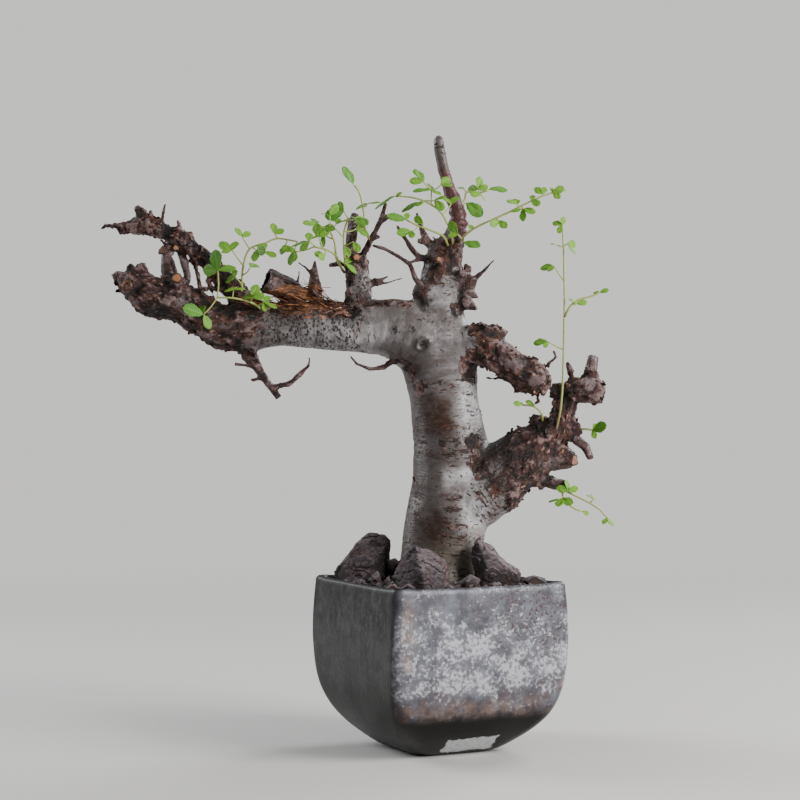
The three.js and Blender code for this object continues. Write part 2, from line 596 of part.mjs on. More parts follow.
// The green shoots: stems as routes of points, and leaves as [from, joint, leaflets]
const SHOOTS = {
  shoot_arm_front: {
    stems: [[[-112, -10, 280], [-118, -19, 287], [-130, -25, 290.5], [-142, -25.5, 291]]],
    leaves: [
      [[-141.5, -25.5, 291], [-141, -27, 308], [[95, 14], [168, 12], [20, 12]]],
      [[-141.5, -25.5, 291], [-150, -29, 280], [[186, 14.5], [112, 10.5], [-48, 9.5]]],
      [[-132, -25, 290.5], [-131, -28, 296], [[100, 8.5], [175, 6], [15, 7]]],
      [[-121, -21, 288.5], [-119, -27, 291], [[72, 10], [5, 8], [150, 7]]],
      [[-117, -18, 286.5], [-112, -24, 288], [[-12, 9], [60, 7], [-80, 6]]],
    ],
  },
  shoot_arm_upper: {
    stems: [
      [[-127, -4, 280], [-127, -10, 297], [-126, -12, 312], [-122, -11, 323], [-112, -9, 327],
        [-104, -8, 330], [-91, -8, 328]],
    ],
    leaves: [
      [[-126.5, -12, 306], [-121, -18, 311], [[62, 11]]],
      [[-126, -12, 312], [-133, -15, 322], [[150, 10], [75, 9], [215, 8]]],
      [[-122, -11, 323], [-127, -8, 331], [[120, 8], [40, 7]]],
      [[-120, -11, 324], [-117, -16, 322], [[-30, 10], [-98, 9], [50, 9]]],
      [[-112, -9, 327], [-112, -13, 321], [[-20, 8]]],
      [[-91.5, -8, 328], [-93, -9, 323], [[190, 9], [258, 8]]],
    ],
  },
  shoot_middle: {
    stems: [
      [[-61, -6, 308], [-66, -12, 317], [-67, -14, 327], [-71, -14, 336]],
      [[-62, -8, 309], [-66, -14, 318], [-72, -17, 322], [-80, -18, 324]],
      [[-60, -8, 310], [-61, -13, 322], [-61, -14, 334], [-58, -14, 343]],
    ],
    leaves: [
      [[-70.5, -14, 335], [-79, -15, 339], [[95, 9], [205, 10]]],
      [[-70.5, -14, 335], [-70, -19, 344], [[60, 9], [130, 7]]],
      [[-79, -18, 324], [-83, -22, 327], [[165, 12], [235, 9], [95, 8]]],
      [[-73, -17, 322], [-73, -22, 318], [[235, 8], [170, 7]]],
      [[-80, -18, 324], [-93, -15, 321], [[232, 9], [164, 8]]],
      [[-58.5, -14, 342], [-61, -13, 347], [[188, 13], [120, 8]]],
      [[-58.5, -14, 342], [-54, -19, 342], [[-44, 12], [88, 9], [22, 8]]],
      [[-61, -13.5, 325], [-55, -19, 327], [[-55, 8]]],
      [[-61, -13.5, 324], [-58, -19, 317], [[100, 8]]],
    ],
  },
  shoot_middle_tall: {
    stems: [[[-44, -5, 327], [-47.5, -11, 337], [-48.5, -12, 348], [-51, -12, 359], [-54, -12, 363.5]]],
    leaves: [
      [[-53.5, -12, 363], [-55, -12, 364.5], [[125, 14]]],
      [[-49, -12, 350], [-46, -13, 352], [[-8, 9], [170, 9]]],
    ],
  },
  shoot_neck_left: {
    stems: [
      [[9, -1, 323], [8.5, -9, 331], [5.5, -12, 339.5], [0, -12, 348], [-9, -13, 353.5], [-17, -13, 356],
        [-27, -13, 357]],
      [[7, -3, 323], [3, -12, 331], [-6, -15, 335], [-14, -15, 338], [-20, -15, 341]],
    ],
    leaves: [
      [[-26.5, -13, 357], [-28, -13, 357], [[184, 16], [10, 5]]],
      [[-10, -13, 354], [-12, -15, 353], [[194, 13], [262, 9]]],
      [[-5, -12.6, 351], [-5, -13, 361], [[92, 9], [188, 12], [-45, 9]]],
      [[-5, -13, 360.5], [-10, -14, 366], [[112, 12], [180, 9]]],
      [[-9, -13, 354], [-3, -14.5, 354], [[18, 8], [-50, 9]]],
      [[-19.5, -15, 341], [-21, -15, 341.5], [[178, 13], [80, 6]]],
      [[-11, -15, 337], [-10, -17, 339], [[140, 8]]],
    ],
  },
  shoot_neck_right: {
    stems: [
      [[12, -1, 325], [16, -8, 331], [24, -11, 337], [36, -13, 342.5], [46, -14, 347], [56, -15, 352],
        [66, -16, 356.5], [75, -16, 359.5], [82, -16, 360.5]],
    ],
    leaves: [
      [[15, -7, 330], [12, -19, 332], [[118, 10], [190, 6]]],
      [[16, -8, 331], [16, -12, 327.5], [[-38, 13]]],
      [[18, -9, 333], [20, -11, 336], [[72, 6]]],
      [[37, -13, 343], [38.5, -14, 341], [[-60, 8], [225, 8]]],
      [[50, -14.4, 349], [51, -15, 351.5], [[98, 9], [166, 8]]],
      [[53, -14.7, 350.5], [54, -15.5, 348.5], [[-96, 8], [196, 8], [-28, 9]]],
      [[58, -15.2, 353], [59.5, -16, 354], [[80, 6], [-50, 8]]],
      [[66, -16, 356.5], [67, -16, 358], [[150, 7], [80, 6]]],
      [[72, -16, 358.6], [73, -16.5, 359], [[18, 8], [-50, 7], [88, 5]]],
    ],
  },
  shoot_neck_back: {
    stems: [[[12, 3, 348], [17, 9, 356], [19, 11, 362], [27, 10, 361.5], [33, 9, 363]]],
    leaves: [
      [[32.5, 9, 363], [33, 9, 363.5], [[12, 13]]],
      [[26.5, 10, 361.5], [26, 9, 363.5], [[80, 9], [148, 9], [14, 7]]],
      [[27, 10, 361.5], [28, 9, 360], [[-60, 6], [195, 7]]],
      [[18.8, 11, 361], [17, 11, 364], [[125, 6]]],
      [[15, 6, 352.5], [18, 6, 354.5], [[-42, 14]]],
    ],
  },
  shoot_right_tall: {
    stems: [
      [[75, -6, 201], [75.5, -14, 207], [78, -17.5, 220], [79.5, -18, 240], [80, -18, 262], [80.5, -18, 290],
        [80, -18, 318], [79.2, -18, 338]],
      [[80.4, -18, 279], [84.5, -18.5, 286], [90, -19, 290], [97, -19, 292], [103, -19, 294.5]],
    ],
    leaves: [
      [[79.2, -18, 337.5], [79, -18, 338], [[75, 6], [148, 7], [235, 6]]],
      [[79.8, -18, 325], [82, -18.5, 326], [[26, 8], [-42, 9]]],
      [[79.8, -18, 324], [76, -18, 325], [[182, 5]]],
      [[80.2, -18, 302], [73.5, -19, 311.5], [[168, 9], [236, 7]]],
      [[85.5, -18.6, 287], [88, -19, 287.5], [[10, 7], [165, 6]]],
      [[102.5, -19, 294.3], [103, -19, 294.6], [[12, 6], [150, 5]]],
      [[80, -18, 258], [70, -19, 263], [[168, 10], [235, 5]]],
    ],
  },
  shoot_right_mid: {
    stems: [[[67, -8, 211], [66, -15, 217], [61, -16, 221.5], [54, -16, 222.5]]],
    leaves: [
      [[54.5, -16, 222.5], [53.5, -16, 222.6], [[178, 6], [110, 4]]],
      [[62, -16, 221], [61, -17, 222.5], [[150, 6]]],
    ],
  },
  shoot_right_low: {
    stems: [[[88, -7, 206], [94, -12, 207], [99, -13, 206.3]]],
    leaves: [[[98.5, -13, 206.4], [99, -13, 206.3], [[-12, 12], [55, 8], [-80, 6]]]],
  },
  shoot_right_hanging: {
    stems: [
      [[77, -6, 172], [79, -13, 168.5], [87, -15, 164.5], [96, -16, 160], [103, -17, 155.5], [108, -17, 150]],
      [[79, -12, 169], [81, -16, 161], [88, -17, 155.5], [92, -17, 154.5]],
    ],
    leaves: [
      [[80, -13.2, 168], [83, -16, 167], [[88, 9], [20, 7], [156, 8]]],
      [[80.2, -14.6, 164.5], [78, -17, 162], [[262, 9], [195, 8], [-32, 9]]],
      [[97, -16.1, 159.5], [99, -17, 162], [[72, 8], [140, 5]]],
      [[107, -16.9, 151.5], [108, -17, 149.8], [[-60, 7], [-128, 6]]],
      [[91, -17, 154.8], [92.2, -17, 154.4], [[-12, 5]]],
    ],
  },
};

function shootSolid({ stems, leaves }, seed, wood) {
  const tubes = stems.map((points) => {
    const route = points.map((point, i) => [...point, STEM_RADIUS - (STEM_TAPER * i) / points.length]);
    return limb(route, { sides: 4, rough: 0 });
  });
  const blades = leaves.flatMap(([from, joint, leaflets], i) => leafSolids(from, joint, leaflets, seed + i));
  return largest(joined([...tubes, ...blades]).subtract(wood));
}

// The whole plant in its bowl
const plant = new THREE.Group();
plant.name = "potted_commiphora";

const trunk = trunkSolid();
const trunkRoom = joined(trunkLimbs(CLEARANCE));

plant.add(meshOf("pot", potSolid(), COLOURS.pot, 0.45, 0.3));

const stoneCorners = new Map(Object.entries(STONES));
SMALL_STONES.forEach((row) => stoneCorners.set(row[0], smallStoneCorners(row)));

let soil = soilSolid().subtract(trunkRoom);
for (const corners of stoneCorners.values()) soil = soil.subtract(stoneSolid(corners, 2 * CLEARANCE));
plant.add(meshOf("soil", largest(soil), COLOURS.soil, 0.95));

for (const [name, corners] of stoneCorners) {
  const stone = largest(stoneSolid(corners, 0).subtract(trunkRoom));
  plant.add(meshOf(name, stone, COLOURS.stone, 0.9));
}

plant.add(meshOf("trunk", trunk, COLOURS.bark, 0.75));

Object.entries(SHOOTS).forEach(([name, shoot], i) => {
  plant.add(meshOf(name, shootSolid(shoot, 300 + 20 * i, trunkRoom), COLOURS.leaf, 0.55));
});

export default plant;
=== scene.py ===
# A Commiphora in bonsai style in its square bowl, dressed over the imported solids.
# Metres, +Z up. The front is seen along +Y, and the long arm reaches to -X.

import itertools
import json
import math

import bpy
import numpy as np
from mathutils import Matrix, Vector
from mathutils.bvhtree import BVHTree

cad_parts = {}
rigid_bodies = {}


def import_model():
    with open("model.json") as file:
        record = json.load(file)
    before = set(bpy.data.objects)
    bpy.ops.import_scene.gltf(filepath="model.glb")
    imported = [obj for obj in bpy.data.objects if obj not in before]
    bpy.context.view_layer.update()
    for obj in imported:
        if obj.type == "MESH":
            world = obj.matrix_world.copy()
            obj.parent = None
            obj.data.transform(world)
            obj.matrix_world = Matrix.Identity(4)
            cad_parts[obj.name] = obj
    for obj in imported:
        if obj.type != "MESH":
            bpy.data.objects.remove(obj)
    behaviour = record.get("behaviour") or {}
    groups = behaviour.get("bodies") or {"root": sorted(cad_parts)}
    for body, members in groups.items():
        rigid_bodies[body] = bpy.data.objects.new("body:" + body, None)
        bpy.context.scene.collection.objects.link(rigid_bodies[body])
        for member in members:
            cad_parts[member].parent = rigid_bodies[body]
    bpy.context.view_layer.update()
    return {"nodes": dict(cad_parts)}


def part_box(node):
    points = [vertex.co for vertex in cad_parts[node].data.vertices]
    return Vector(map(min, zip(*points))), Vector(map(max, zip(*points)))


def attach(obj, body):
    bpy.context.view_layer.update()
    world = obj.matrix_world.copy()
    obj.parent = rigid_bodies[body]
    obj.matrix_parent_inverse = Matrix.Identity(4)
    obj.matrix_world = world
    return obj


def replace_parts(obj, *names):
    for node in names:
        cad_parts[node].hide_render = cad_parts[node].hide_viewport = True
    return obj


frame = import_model()
scene = bpy.context.scene
MM = 0.001


# Camera, floor and light
# A level camera at the height of the arm. The floor is a pale sheet that fades out far from the bowl,
# and the light is soft daylight from large panels, brightest from the right.

EYE = (-0.025, -1.35, 0.2257)
LENS = 93.46
FLOOR_REACH = 2.4
FADE_FROM, FADE_TO = 0.34, 1.5
PALE_FLOOR = (0.60, 0.59, 0.575)
ROOM_LIGHT = (0.80, 0.79, 0.77)
ROOM_STRENGTH, BACKDROP_STRENGTH = 0.33, 1.05

camera = bpy.data.objects.new("camera", bpy.data.cameras.new("camera"))
camera.data.lens = LENS
camera.data.sensor_width = 36
camera.location = EYE
camera.rotation_euler = (math.radians(90), 0, 0)
scene.collection.objects.link(camera)
scene.camera = camera

scene.world = bpy.data.worlds.new("soft_room")
scene.world.use_nodes = True
room = scene.world.node_tree.nodes["Background"]
room.inputs["Color"].default_value = (*ROOM_LIGHT, 1)
room.inputs["Strength"].default_value = ROOM_STRENGTH
backdrop = scene.world.node_tree.nodes.new("ShaderNodeBackground")
backdrop.inputs["Color"].default_value = (*ROOM_LIGHT, 1)
backdrop.inputs["Strength"].default_value = BACKDROP_STRENGTH
seen = scene.world.node_tree.nodes.new("ShaderNodeMixShader")
ray = scene.world.node_tree.nodes.new("ShaderNodeLightPath")
surface = scene.world.node_tree.nodes["World Output"].inputs["Surface"]
for source, target in (
    (ray.outputs["Is Camera Ray"], seen.inputs[0]), (room.outputs[0], seen.inputs[1]),
    (backdrop.outputs[0], seen.inputs[2]), (seen.outputs[0], surface),
):
    scene.world.node_tree.links.new(source, target)


def add_panel(name, place, aim, size, power, colour):
    """A large soft light at place that faces the point aim."""
    panel = bpy.data.objects.new(name, bpy.data.lights.new(name, "AREA"))
    panel.data.size = size
    panel.data.energy = power
    panel.data.color = colour
    panel.location = place
    panel.rotation_euler = (Vector(aim) - Vector(place)).to_track_quat("-Z", "Y").to_euler()
    scene.collection.objects.link(panel)


add_panel("window_right", (1.15, -0.70, 0.70), (0, 0, 0.2), 0.8, 37, (1.0, 0.985, 0.96))
add_panel("window_left", (-1.2, 0.45, 0.8), (0, 0, 0.25), 0.8, 17, (0.95, 0.975, 1.0))
add_panel("window_back", (0.9, 1.1, 1.0), (0, 0, 0.25), 0.8, 18, (0.96, 0.98, 1.0))


def add_node(tree, kind, inputs=None, **settings):
    """A shader node. Each input is a value, or the socket that feeds it."""
    node = tree.nodes.new("ShaderNode" + kind)
    for name, value in settings.items():
        setattr(node, name, value)
    for name, value in (inputs or {}).items():
        socket = node.inputs[name]
        if isinstance(value, bpy.types.NodeSocket):
            tree.links.new(value, socket)
        else:
            socket.default_value = value
    return node


def calculate(tree, operation, a, b=0.0):
    """The result socket of a Math node on two values or sockets."""
    return add_node(tree, "Math", {0: a, 1: b}, operation=operation).outputs[0]


def opposite(tree, mask):
    """1 where the mask is 0, and 0 where it is 1."""
    return calculate(tree, "SUBTRACT", 1.0, mask)


def rise(tree, value, low, high):
    """A mask that rises smoothly from 0 at low to 1 at high."""
    inputs = {"Value": value, "From Min": low, "From Max": high}
    node = add_node(tree, "MapRange", inputs, interpolation_type="SMOOTHSTEP")
    return node.outputs["Result"]


def own_place(tree):
    """Where each point of the piece lies, in metres."""
    return add_node(tree, "TexCoord").outputs["Object"]


def new_material(name):
    """A material with its Principled shader, as (material, node tree, shader)."""
    material = bpy.data.materials.new(name)
    material.use_nodes = True
    return material, material.node_tree, material.node_tree.nodes["Principled BSDF"]


floor_finish, tree, shader = new_material("pale_paper")
away = add_node(tree, "VectorMath", {0: own_place(tree)}, operation="LENGTH").outputs["Value"]
shader.inputs["Base Color"].default_value = (*PALE_FLOOR, 1)
shader.inputs["Roughness"].default_value = 0.85
tree.links.new(opposite(tree, rise(tree, away, FADE_FROM, FADE_TO)), shader.inputs["Alpha"])

floor_mesh = bpy.data.meshes.new("floor")
corners = [(x * FLOOR_REACH, y * FLOOR_REACH, 0) for x, y in ((-1, -1), (1, -1), (1, 1), (-1, 1))]
floor_mesh.from_pydata(corners, [], [(0, 1, 2, 3)])
floor_mesh.materials.append(floor_finish)
floor = bpy.data.objects.new("floor", floor_mesh)
scene.collection.objects.link(floor)


# Bowl
# A square stoneware bowl with rounded corners, pinched in to a small foot. It was shaped by hand from
# slabs, and its dark glaze broke to silver crystals. The front right side, towards the brightest panel,
# is painted paler, bluer and more silvery: partly its crystals, partly painted light and reflection.

POT_TURN = math.radians(26.67)
POT_PROFILE = np.array([
    [0, 27, 12], [2, 32, 12], [8, 40, 12], [16, 48.5, 11.5], [27, 56, 10],
    [42, 61, 9], [64, 63, 7], [88, 62.7, 6], [108, 61.4, 6],
])
POT_RIM = [[108.7, 60.9, 6], [109.4, 60.1, 6], [109.5, 58.7, 5.5], [109.2, 57.4, 5], [108.2, 56.6, 5]]
POT_WALL = 5.5
POT_FLOOR = 8
FOOT_THICKENING, THICKENED_BELOW = 10, 30
CORNER_POINTS = 12
SIDE_POINTS = 26
RIM_DIP = 0.9  # how much lower the rim is between its corners
HAND_MARKS = 0.35  # how far the slabs' surface wanders
DRAIN_RADIUS, DRAIN_OFFSET = 3.5, 14
GLAZE_DARK = (0.005, 0.0045, 0.004, 1)
GLAZE_GREY = (0.088, 0.085, 0.091, 1)
GLAZE_BLUE = (0.150, 0.163, 0.195, 1)
GLAZE_DEEP = (0.038, 0.044, 0.058, 1)
GLAZE_PURPLE = (0.075, 0.052, 0.054, 1)
GLAZE_SILVER = (0.44, 0.445, 0.49, 1)
GLAZE_TAN = (0.27, 0.175, 0.135, 1)
GLAZE_SPECK = (0.060, 0.022, 0.018, 1)
GLAZE_BARE = (0.50, 0.51, 0.53, 1)
GLAZE_BARE_DULL = (0.30, 0.30, 0.31, 1)
TAN_ALONG, TAN_UP = (-57 * MM, -51 * MM), (60 * MM, 100 * MM)
LIT_AND_FIRED_SIDE = (math.sin(POT_TURN), -math.cos(POT_TURN), 0)
BARE_ALONG, BARE_UP, BARE_EDGE = (-17 * MM, 19 * MM), (2.5 * MM, 12 * MM), 0.6 * MM


def lump_noise(places, size, seed=0):
    """Smooth noise from -1 to 1 at places, with lumps about size across."""
    grid = np.asarray(places, dtype=np.float64) / size + 17.31 * (seed + 1)
    low = np.floor(grid).astype(np.int64)
    inside = grid - low
    inside = inside * inside * (3 - 2 * inside)
    total = np.zeros(len(grid))
    for corner in itertools.product((0, 1), repeat=3):
        cell = low + np.array(corner)
        mixed = (cell[:, 0] * 73856093) ^ (cell[:, 1] * 19349663) ^ (cell[:, 2] * 83492791)
        mixed = (mixed ^ (mixed >> 13)) * 1274126177 & 0xFFFFFFFF
        weight = np.where(corner, inside, 1 - inside).prod(axis=1)
        total += weight * (((mixed ^ (mixed >> 16)) & 0xFFFF) / 32767.5 - 1)
    return total


def spots_in(mesh):
    """The places of a mesh's vertices, in millimetres."""
    places = np.zeros(len(mesh.vertices) * 3)
    mesh.vertices.foreach_get("co", places)
    return places.reshape(-1, 3) / MM


def worked(piece):
    """A new mesh of the piece as its modifiers leave it."""
    graph = bpy.context.evaluated_depsgraph_get()
    return bpy.data.meshes.new_from_object(piece.evaluated_get(graph))


def place_mesh(name, mesh, material, smooth=True):
    """A piece of the plant from a mesh, with its material, attached to the root body."""
    mesh.polygons.foreach_set("use_smooth", [smooth] * len(mesh.polygons))
    mesh.materials.clear()
    mesh.materials.append(material)
    piece = bpy.data.objects.new(name, mesh)
    scene.collection.objects.link(piece)
    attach(piece, "root")
    return piece


def add_piece(name, points, faces, material, smooth=True):
    """A piece of the plant from points and faces."""
    mesh = bpy.data.meshes.new(name)
    mesh.from_pydata([tuple(point) for point in points], [], faces)
    mesh.validate()
    return place_mesh(name, mesh, material, smooth)


def set_values(piece, name, values, kind="FLOAT"):
    """Stores one value or vector for each vertex, for the materials to read."""
    layer = piece.data.attributes.new(name, kind, "POINT")
    field = "value" if kind == "FLOAT" else "vector"
    layer.data.foreach_set(field, np.asarray(values, dtype=np.float32).ravel())


def turned(x, y, angle=POT_TURN):
    """A point turned about the bowl's middle, by default as far as the bowl is."""
    return x * math.cos(angle) - y * math.sin(angle), x * math.sin(angle) + y * math.cos(angle)


def bowl_outline(half, corner):
    """The rounded square of the bowl at one height, and how near to a corner each of its points is."""
    points, nearness = [], []
    flat = half - corner
    for quarter in range(4):
        angle = quarter * math.pi / 2 + POT_TURN
        for i in range(CORNER_POINTS + 1):
            bend = i / CORNER_POINTS * math.pi / 2
            points.append(turned(flat + corner * math.cos(bend), flat + corner * math.sin(bend), angle))
            nearness.append(1)
        for i in range(1, SIDE_POINTS):
            across = 1 - 2 * i / SIDE_POINTS
            points.append(turned(flat * across, half, angle))
            nearness.append(abs(across) ** 6)
    return np.array(points), np.array(nearness)


def profile_at(height):
    """Half width and corner radius of the bowl's outside at a height, on a smooth curve."""
    rows = POT_PROFILE
    k = int(np.clip(np.searchsorted(rows[:, 0], height) - 1, 0, len(rows) - 2))
    before, start = rows[max(k - 1, 0), 1:], rows[k, 1:]
    end, after = rows[k + 1, 1:], rows[min(k + 2, len(rows) - 1), 1:]
    span = rows[k + 1, 0] - rows[k, 0]
    t = (height - rows[k, 0]) / span
    slope_in = (end - before) * span / (rows[k + 1, 0] - rows[max(k - 1, 0), 0])
    slope_out = (after - start) * span / (rows[min(k + 2, len(rows) - 1), 0] - rows[k, 0])
    return (
        (2 * t**3 - 3 * t**2 + 1) * start + (t**3 - 2 * t**2 + t) * slope_in
        + (3 * t**2 - 2 * t**3) * end + (t**3 - t**2) * slope_out
    )


rings = [(0.0, np.array([20.0, 9.0]))]
rings += [(h, profile_at(h)) for h in np.linspace(0, 107.6, 46)]
rings += [(h, np.array(size)) for h, *size in POT_RIM]
for h in np.linspace(105, POT_FLOOR, 14):
    thicker = FOOT_THICKENING * max(0.0, 1 - h / THICKENED_BELOW) ** 2
    half, corner = profile_at(h)
    rings.append((h, np.array([half - POT_WALL - thicker, max(corner - 2, 3)])))
points = []
for h, (half, corner) in rings:
    outline, nearness = bowl_outline(half, corner)
    lift = RIM_DIP * np.clip((h - 60) / 50, 0, 1) ** 2 * (nearness - 0.5)
    points.append(np.column_stack([outline, h + lift]))
points = np.vstack(points)
turns = 4 * (CORNER_POINTS + SIDE_POINTS)
outward = points * [1, 1, 0] / np.linalg.norm(points[:, :2], axis=1)[:, None]
wander = lump_noise(points, 26, 3) + 0.4 * lump_noise(points, 11, 4)
points += outward * (HAND_MARKS * wander * np.clip(points[:, 2] / 12, 0, 1))[:, None]
faces = [list(range(turns))[::-1], [(len(rings) - 1) * turns + i for i in range(turns)]]
for row in range(len(rings) - 1):
    for i in range(turns):
        j = (i + 1) % turns
        faces.append((row * turns + i, row * turns + j, (row + 1) * turns + j, (row + 1) * turns + i))


def blend(tree, mask, under, over):
    """The colour under where the mask is 0, and over where it is 1."""
    return add_node(tree, "Mix", {0: mask, 6: under, 7: over}, data_type="RGBA").outputs[2]


def between(tree, mask, low, high):
    """A value that goes from low to high with the mask."""
    return add_node(tree, "Mix", {0: mask, 2: low, 3: high}, data_type="FLOAT").outputs[0]


def times(tree, *factors):
    """The product of values and sockets."""
    product = factors[0]
    for factor in factors[1:]:
        product = calculate(tree, "MULTIPLY", product, factor)
    return product


def plus(tree, a, b):
    """The sum of two values or sockets."""
    return calculate(tree, "ADD", a, b)


def larger(tree, a, b):
    """The larger of two values or sockets."""
    return calculate(tree, "MAXIMUM", a, b)


def lay(tree, under, over, mask, strength):
    """The colour over laid on the colour under by a mask, at most at a given strength."""
    return blend(tree, times(tree, mask, strength), under, over)


def crumble(tree, place, scale, detail, roughness=0.5):
    """Fine noise over the surface."""
    inputs = {"Vector": place, "Scale": scale, "Detail": detail, "Roughness": roughness}
    return add_node(tree, "TexNoise", inputs).outputs["Fac"]


patches = bpy.data.node_groups.new("patches", "ShaderNodeTree")
for label, kind, default in (
    ("Place", "Vector", (0, 0, 0)), ("Size", "Float", 0.01), ("Detail", "Float", 4.0),
    ("Cover", "Float", 0.5), ("Softness", "Float", 0.1),
):
    socket = patches.interface.new_socket(label, in_out="INPUT", socket_type="NodeSocket" + kind)
    socket.default_value = default
patches.interface.new_socket("Mask", in_out="OUTPUT", socket_type="NodeSocketFloat")
given = patches.nodes.new("NodeGroupInput").outputs
per_size = {0: given["Place"], "Scale": calculate(patches, "DIVIDE", 1.0, given["Size"])}
scaled = add_node(patches, "VectorMath", per_size, operation="SCALE").outputs["Vector"]
cloud = crumble(patches, scaled, 1.0, given["Detail"], 0.62)
edge = calculate(patches, "SUBTRACT", 0.78, times(patches, given["Cover"], 0.56))
above_edge = calculate(patches, "SUBTRACT", cloud, edge)
steepness = calculate(patches, "DIVIDE", above_edge, larger(patches, given["Softness"], 0.001))
mask = rise(patches, steepness, -0.5, 0.5)
patches.links.new(mask, patches.nodes.new("NodeGroupOutput").inputs["Mask"])


def use_patches(tree, place, size, cover, softness=0.1, detail=4.0):
    """The mask of irregular patches about size across that cover a share of the surface."""
    node = tree.nodes.new("ShaderNodeGroup")
    node.node_tree = patches
    tree.links.new(place, node.inputs["Place"])
    for name, value in (("Size", size), ("Cover", cover), ("Softness", softness), ("Detail", detail)):
        if isinstance(value, bpy.types.NodeSocket):
            tree.links.new(value, node.inputs[name])
        else:
            node.inputs[name].default_value = value
    return node.outputs["Mask"]


def stretch(tree, place, x, y, z):
    """The same place with its axes scaled, for patches that are longer one way."""
    return add_node(tree, "VectorMath", {0: place, 1: (x, y, z)}, operation="MULTIPLY").outputs["Vector"]


def read(tree, name, output="Fac"):
    """What the mesh stores for each vertex under a name."""
    return add_node(tree, "Attribute", attribute_name=name).outputs[output]


def mottle(tree, place, size, dark, pale, cover=0.5, softness=0.5):
    """A colour that wanders between dark and pale in patches about size across."""
    return blend(tree, use_patches(tree, place, size, cover, softness, 6), dark, pale)


def project(tree, vector, way):
    """How far a vector reaches along a direction."""
    return add_node(tree, "VectorMath", {0: vector, 1: way}, operation="DOT_PRODUCT").outputs["Value"]


def upward_part(tree, vector):
    """The Z of a place or a direction."""
    return add_node(tree, "SeparateXYZ", {0: vector}).outputs["Z"]


def window(tree, value, low, high, edge):
    """A mask that is 1 where the value lies from low to high, with soft edges."""
    falls = opposite(tree, rise(tree, value, high - edge, high + edge))
    return times(tree, rise(tree, value, low - edge, low + edge), falls)


def wander_by(tree, mask, amount):
    """A value that strays either way from 0 with the mask."""
    return times(tree, calculate(tree, "SUBTRACT", mask, 0.5), amount)


def finish(tree, shader, colour, roughness, gloss=0.5):
    """Gives a shader its colour, its roughness as a value or a socket, and its specular level."""
    tree.links.new(colour, shader.inputs["Base Color"])
    if isinstance(roughness, bpy.types.NodeSocket):
        tree.links.new(roughness, shader.inputs["Roughness"])
    else:
        shader.inputs["Roughness"].default_value = roughness
    shader.inputs["Specular IOR Level"].default_value = gloss


def emboss(tree, shader, heights, strength, depth):
    """Lets the light see small heights, up to a depth in metres."""
    bump = add_node(tree, "Bump", {"Height": heights, "Strength": strength, "Distance": depth})
    tree.links.new(bump.outputs["Normal"], shader.inputs["Normal"])


glaze, tree, shader = new_material("broken_glaze")
place = own_place(tree)
# The lit and fired side faces the brightest panel: the colour laid by this mask is partly painted light
toward_lit_fired_side = project(tree, add_node(tree, "NewGeometry").outputs["Normal"], LIT_AND_FIRED_SIDE)
along = project(tree, place, (math.cos(POT_TURN), math.sin(POT_TURN), 0))
height = upward_part(tree, place)
fired_and_lit = rise(tree, toward_lit_fired_side, 0.1, 0.85)
above_foot = rise(tree, height, 0.024, 0.036)
crystal_top = opposite(tree, rise(tree, height, 0.072, 0.100))
crystal_band = times(tree, rise(tree, height, 0.036, 0.050), crystal_top)
clouds = use_patches(tree, place, 0.013, between(tree, crystal_band, 0.27, 0.56), 0.45, 5)
speckle = use_patches(tree, place, 0.0024, between(tree, clouds, 0.14, 0.62), 0.20, 6)
silver = times(tree, speckle, times(tree, above_foot, between(tree, fired_and_lit, 0.035, 0.9)))
haze = times(tree, clouds, times(tree, above_foot, between(tree, fired_and_lit, 0.02, 0.22)))

# The dark body of the glaze, paler towards the rim; near-black low down, partly as painted shade
runs = use_patches(tree, stretch(tree, place, 1, 1, 0.6), 0.0044, 0.46, 0.5, 6)
paler = between(tree, rise(tree, height, 0.026, 0.095), 0.03, 0.95)
colour = lay(tree, GLAZE_DARK, GLAZE_GREY, between(tree, runs, 0.30, 1.0), paler)
colour = lay(tree, colour, GLAZE_DARK, use_patches(tree, place, 0.009, 0.45, 0.4, 6), 0.75)
colour = lay(tree, colour, GLAZE_DARK, use_patches(tree, place, 0.0013, 0.36, 0.3, 3), 0.5)

# Blue-grey and purple clouds, silver crystals, painted light and reflection on the lit front right side
fired_and_lit_colour = mottle(tree, place, 0.011, GLAZE_BLUE, GLAZE_DEEP, 0.50, 0.40)
low_part = opposite(tree, rise(tree, height, 0.036, 0.060))
purple_part = use_patches(tree, place, 0.010, 0.55, 0.4, 5)
fired_and_lit_colour = lay(tree, fired_and_lit_colour, GLAZE_PURPLE, purple_part, between(tree, low_part, 0.4, 1.0))
colour = lay(tree, colour, fired_and_lit_colour, fired_and_lit, above_foot)
colour = blend(tree, haze, colour, GLAZE_SILVER)
colour = blend(tree, silver, colour, GLAZE_SILVER)

# Tan where the glaze ran thin: a streak down the left edge, the fold above the foot, the right edge
streak = times(tree, window(tree, along, *TAN_ALONG, 4 * MM), window(tree, height, *TAN_UP, 8 * MM))
fold = times(tree, window(tree, height, 0.029, 0.036, 0.006), 0.8)
right_edge = times(tree, rise(tree, along, 0.050, 0.058), window(tree, height, 0.030, 0.048, 0.006))
tan = larger(tree, larger(tree, streak, fold), right_edge)
tan = times(tree, tan, use_patches(tree, place, 0.0065, 0.46, 0.35, 6), fired_and_lit)
colour = lay(tree, colour, GLAZE_TAN, tan, 0.8)
# Painted shade down the corners and along the fold above the foot, on the side away from the light
colour = lay(tree, colour, GLAZE_DARK, times(tree, read(tree, "painted_corner_and_fold_shade"), opposite(tree, fired_and_lit)), 0.95)

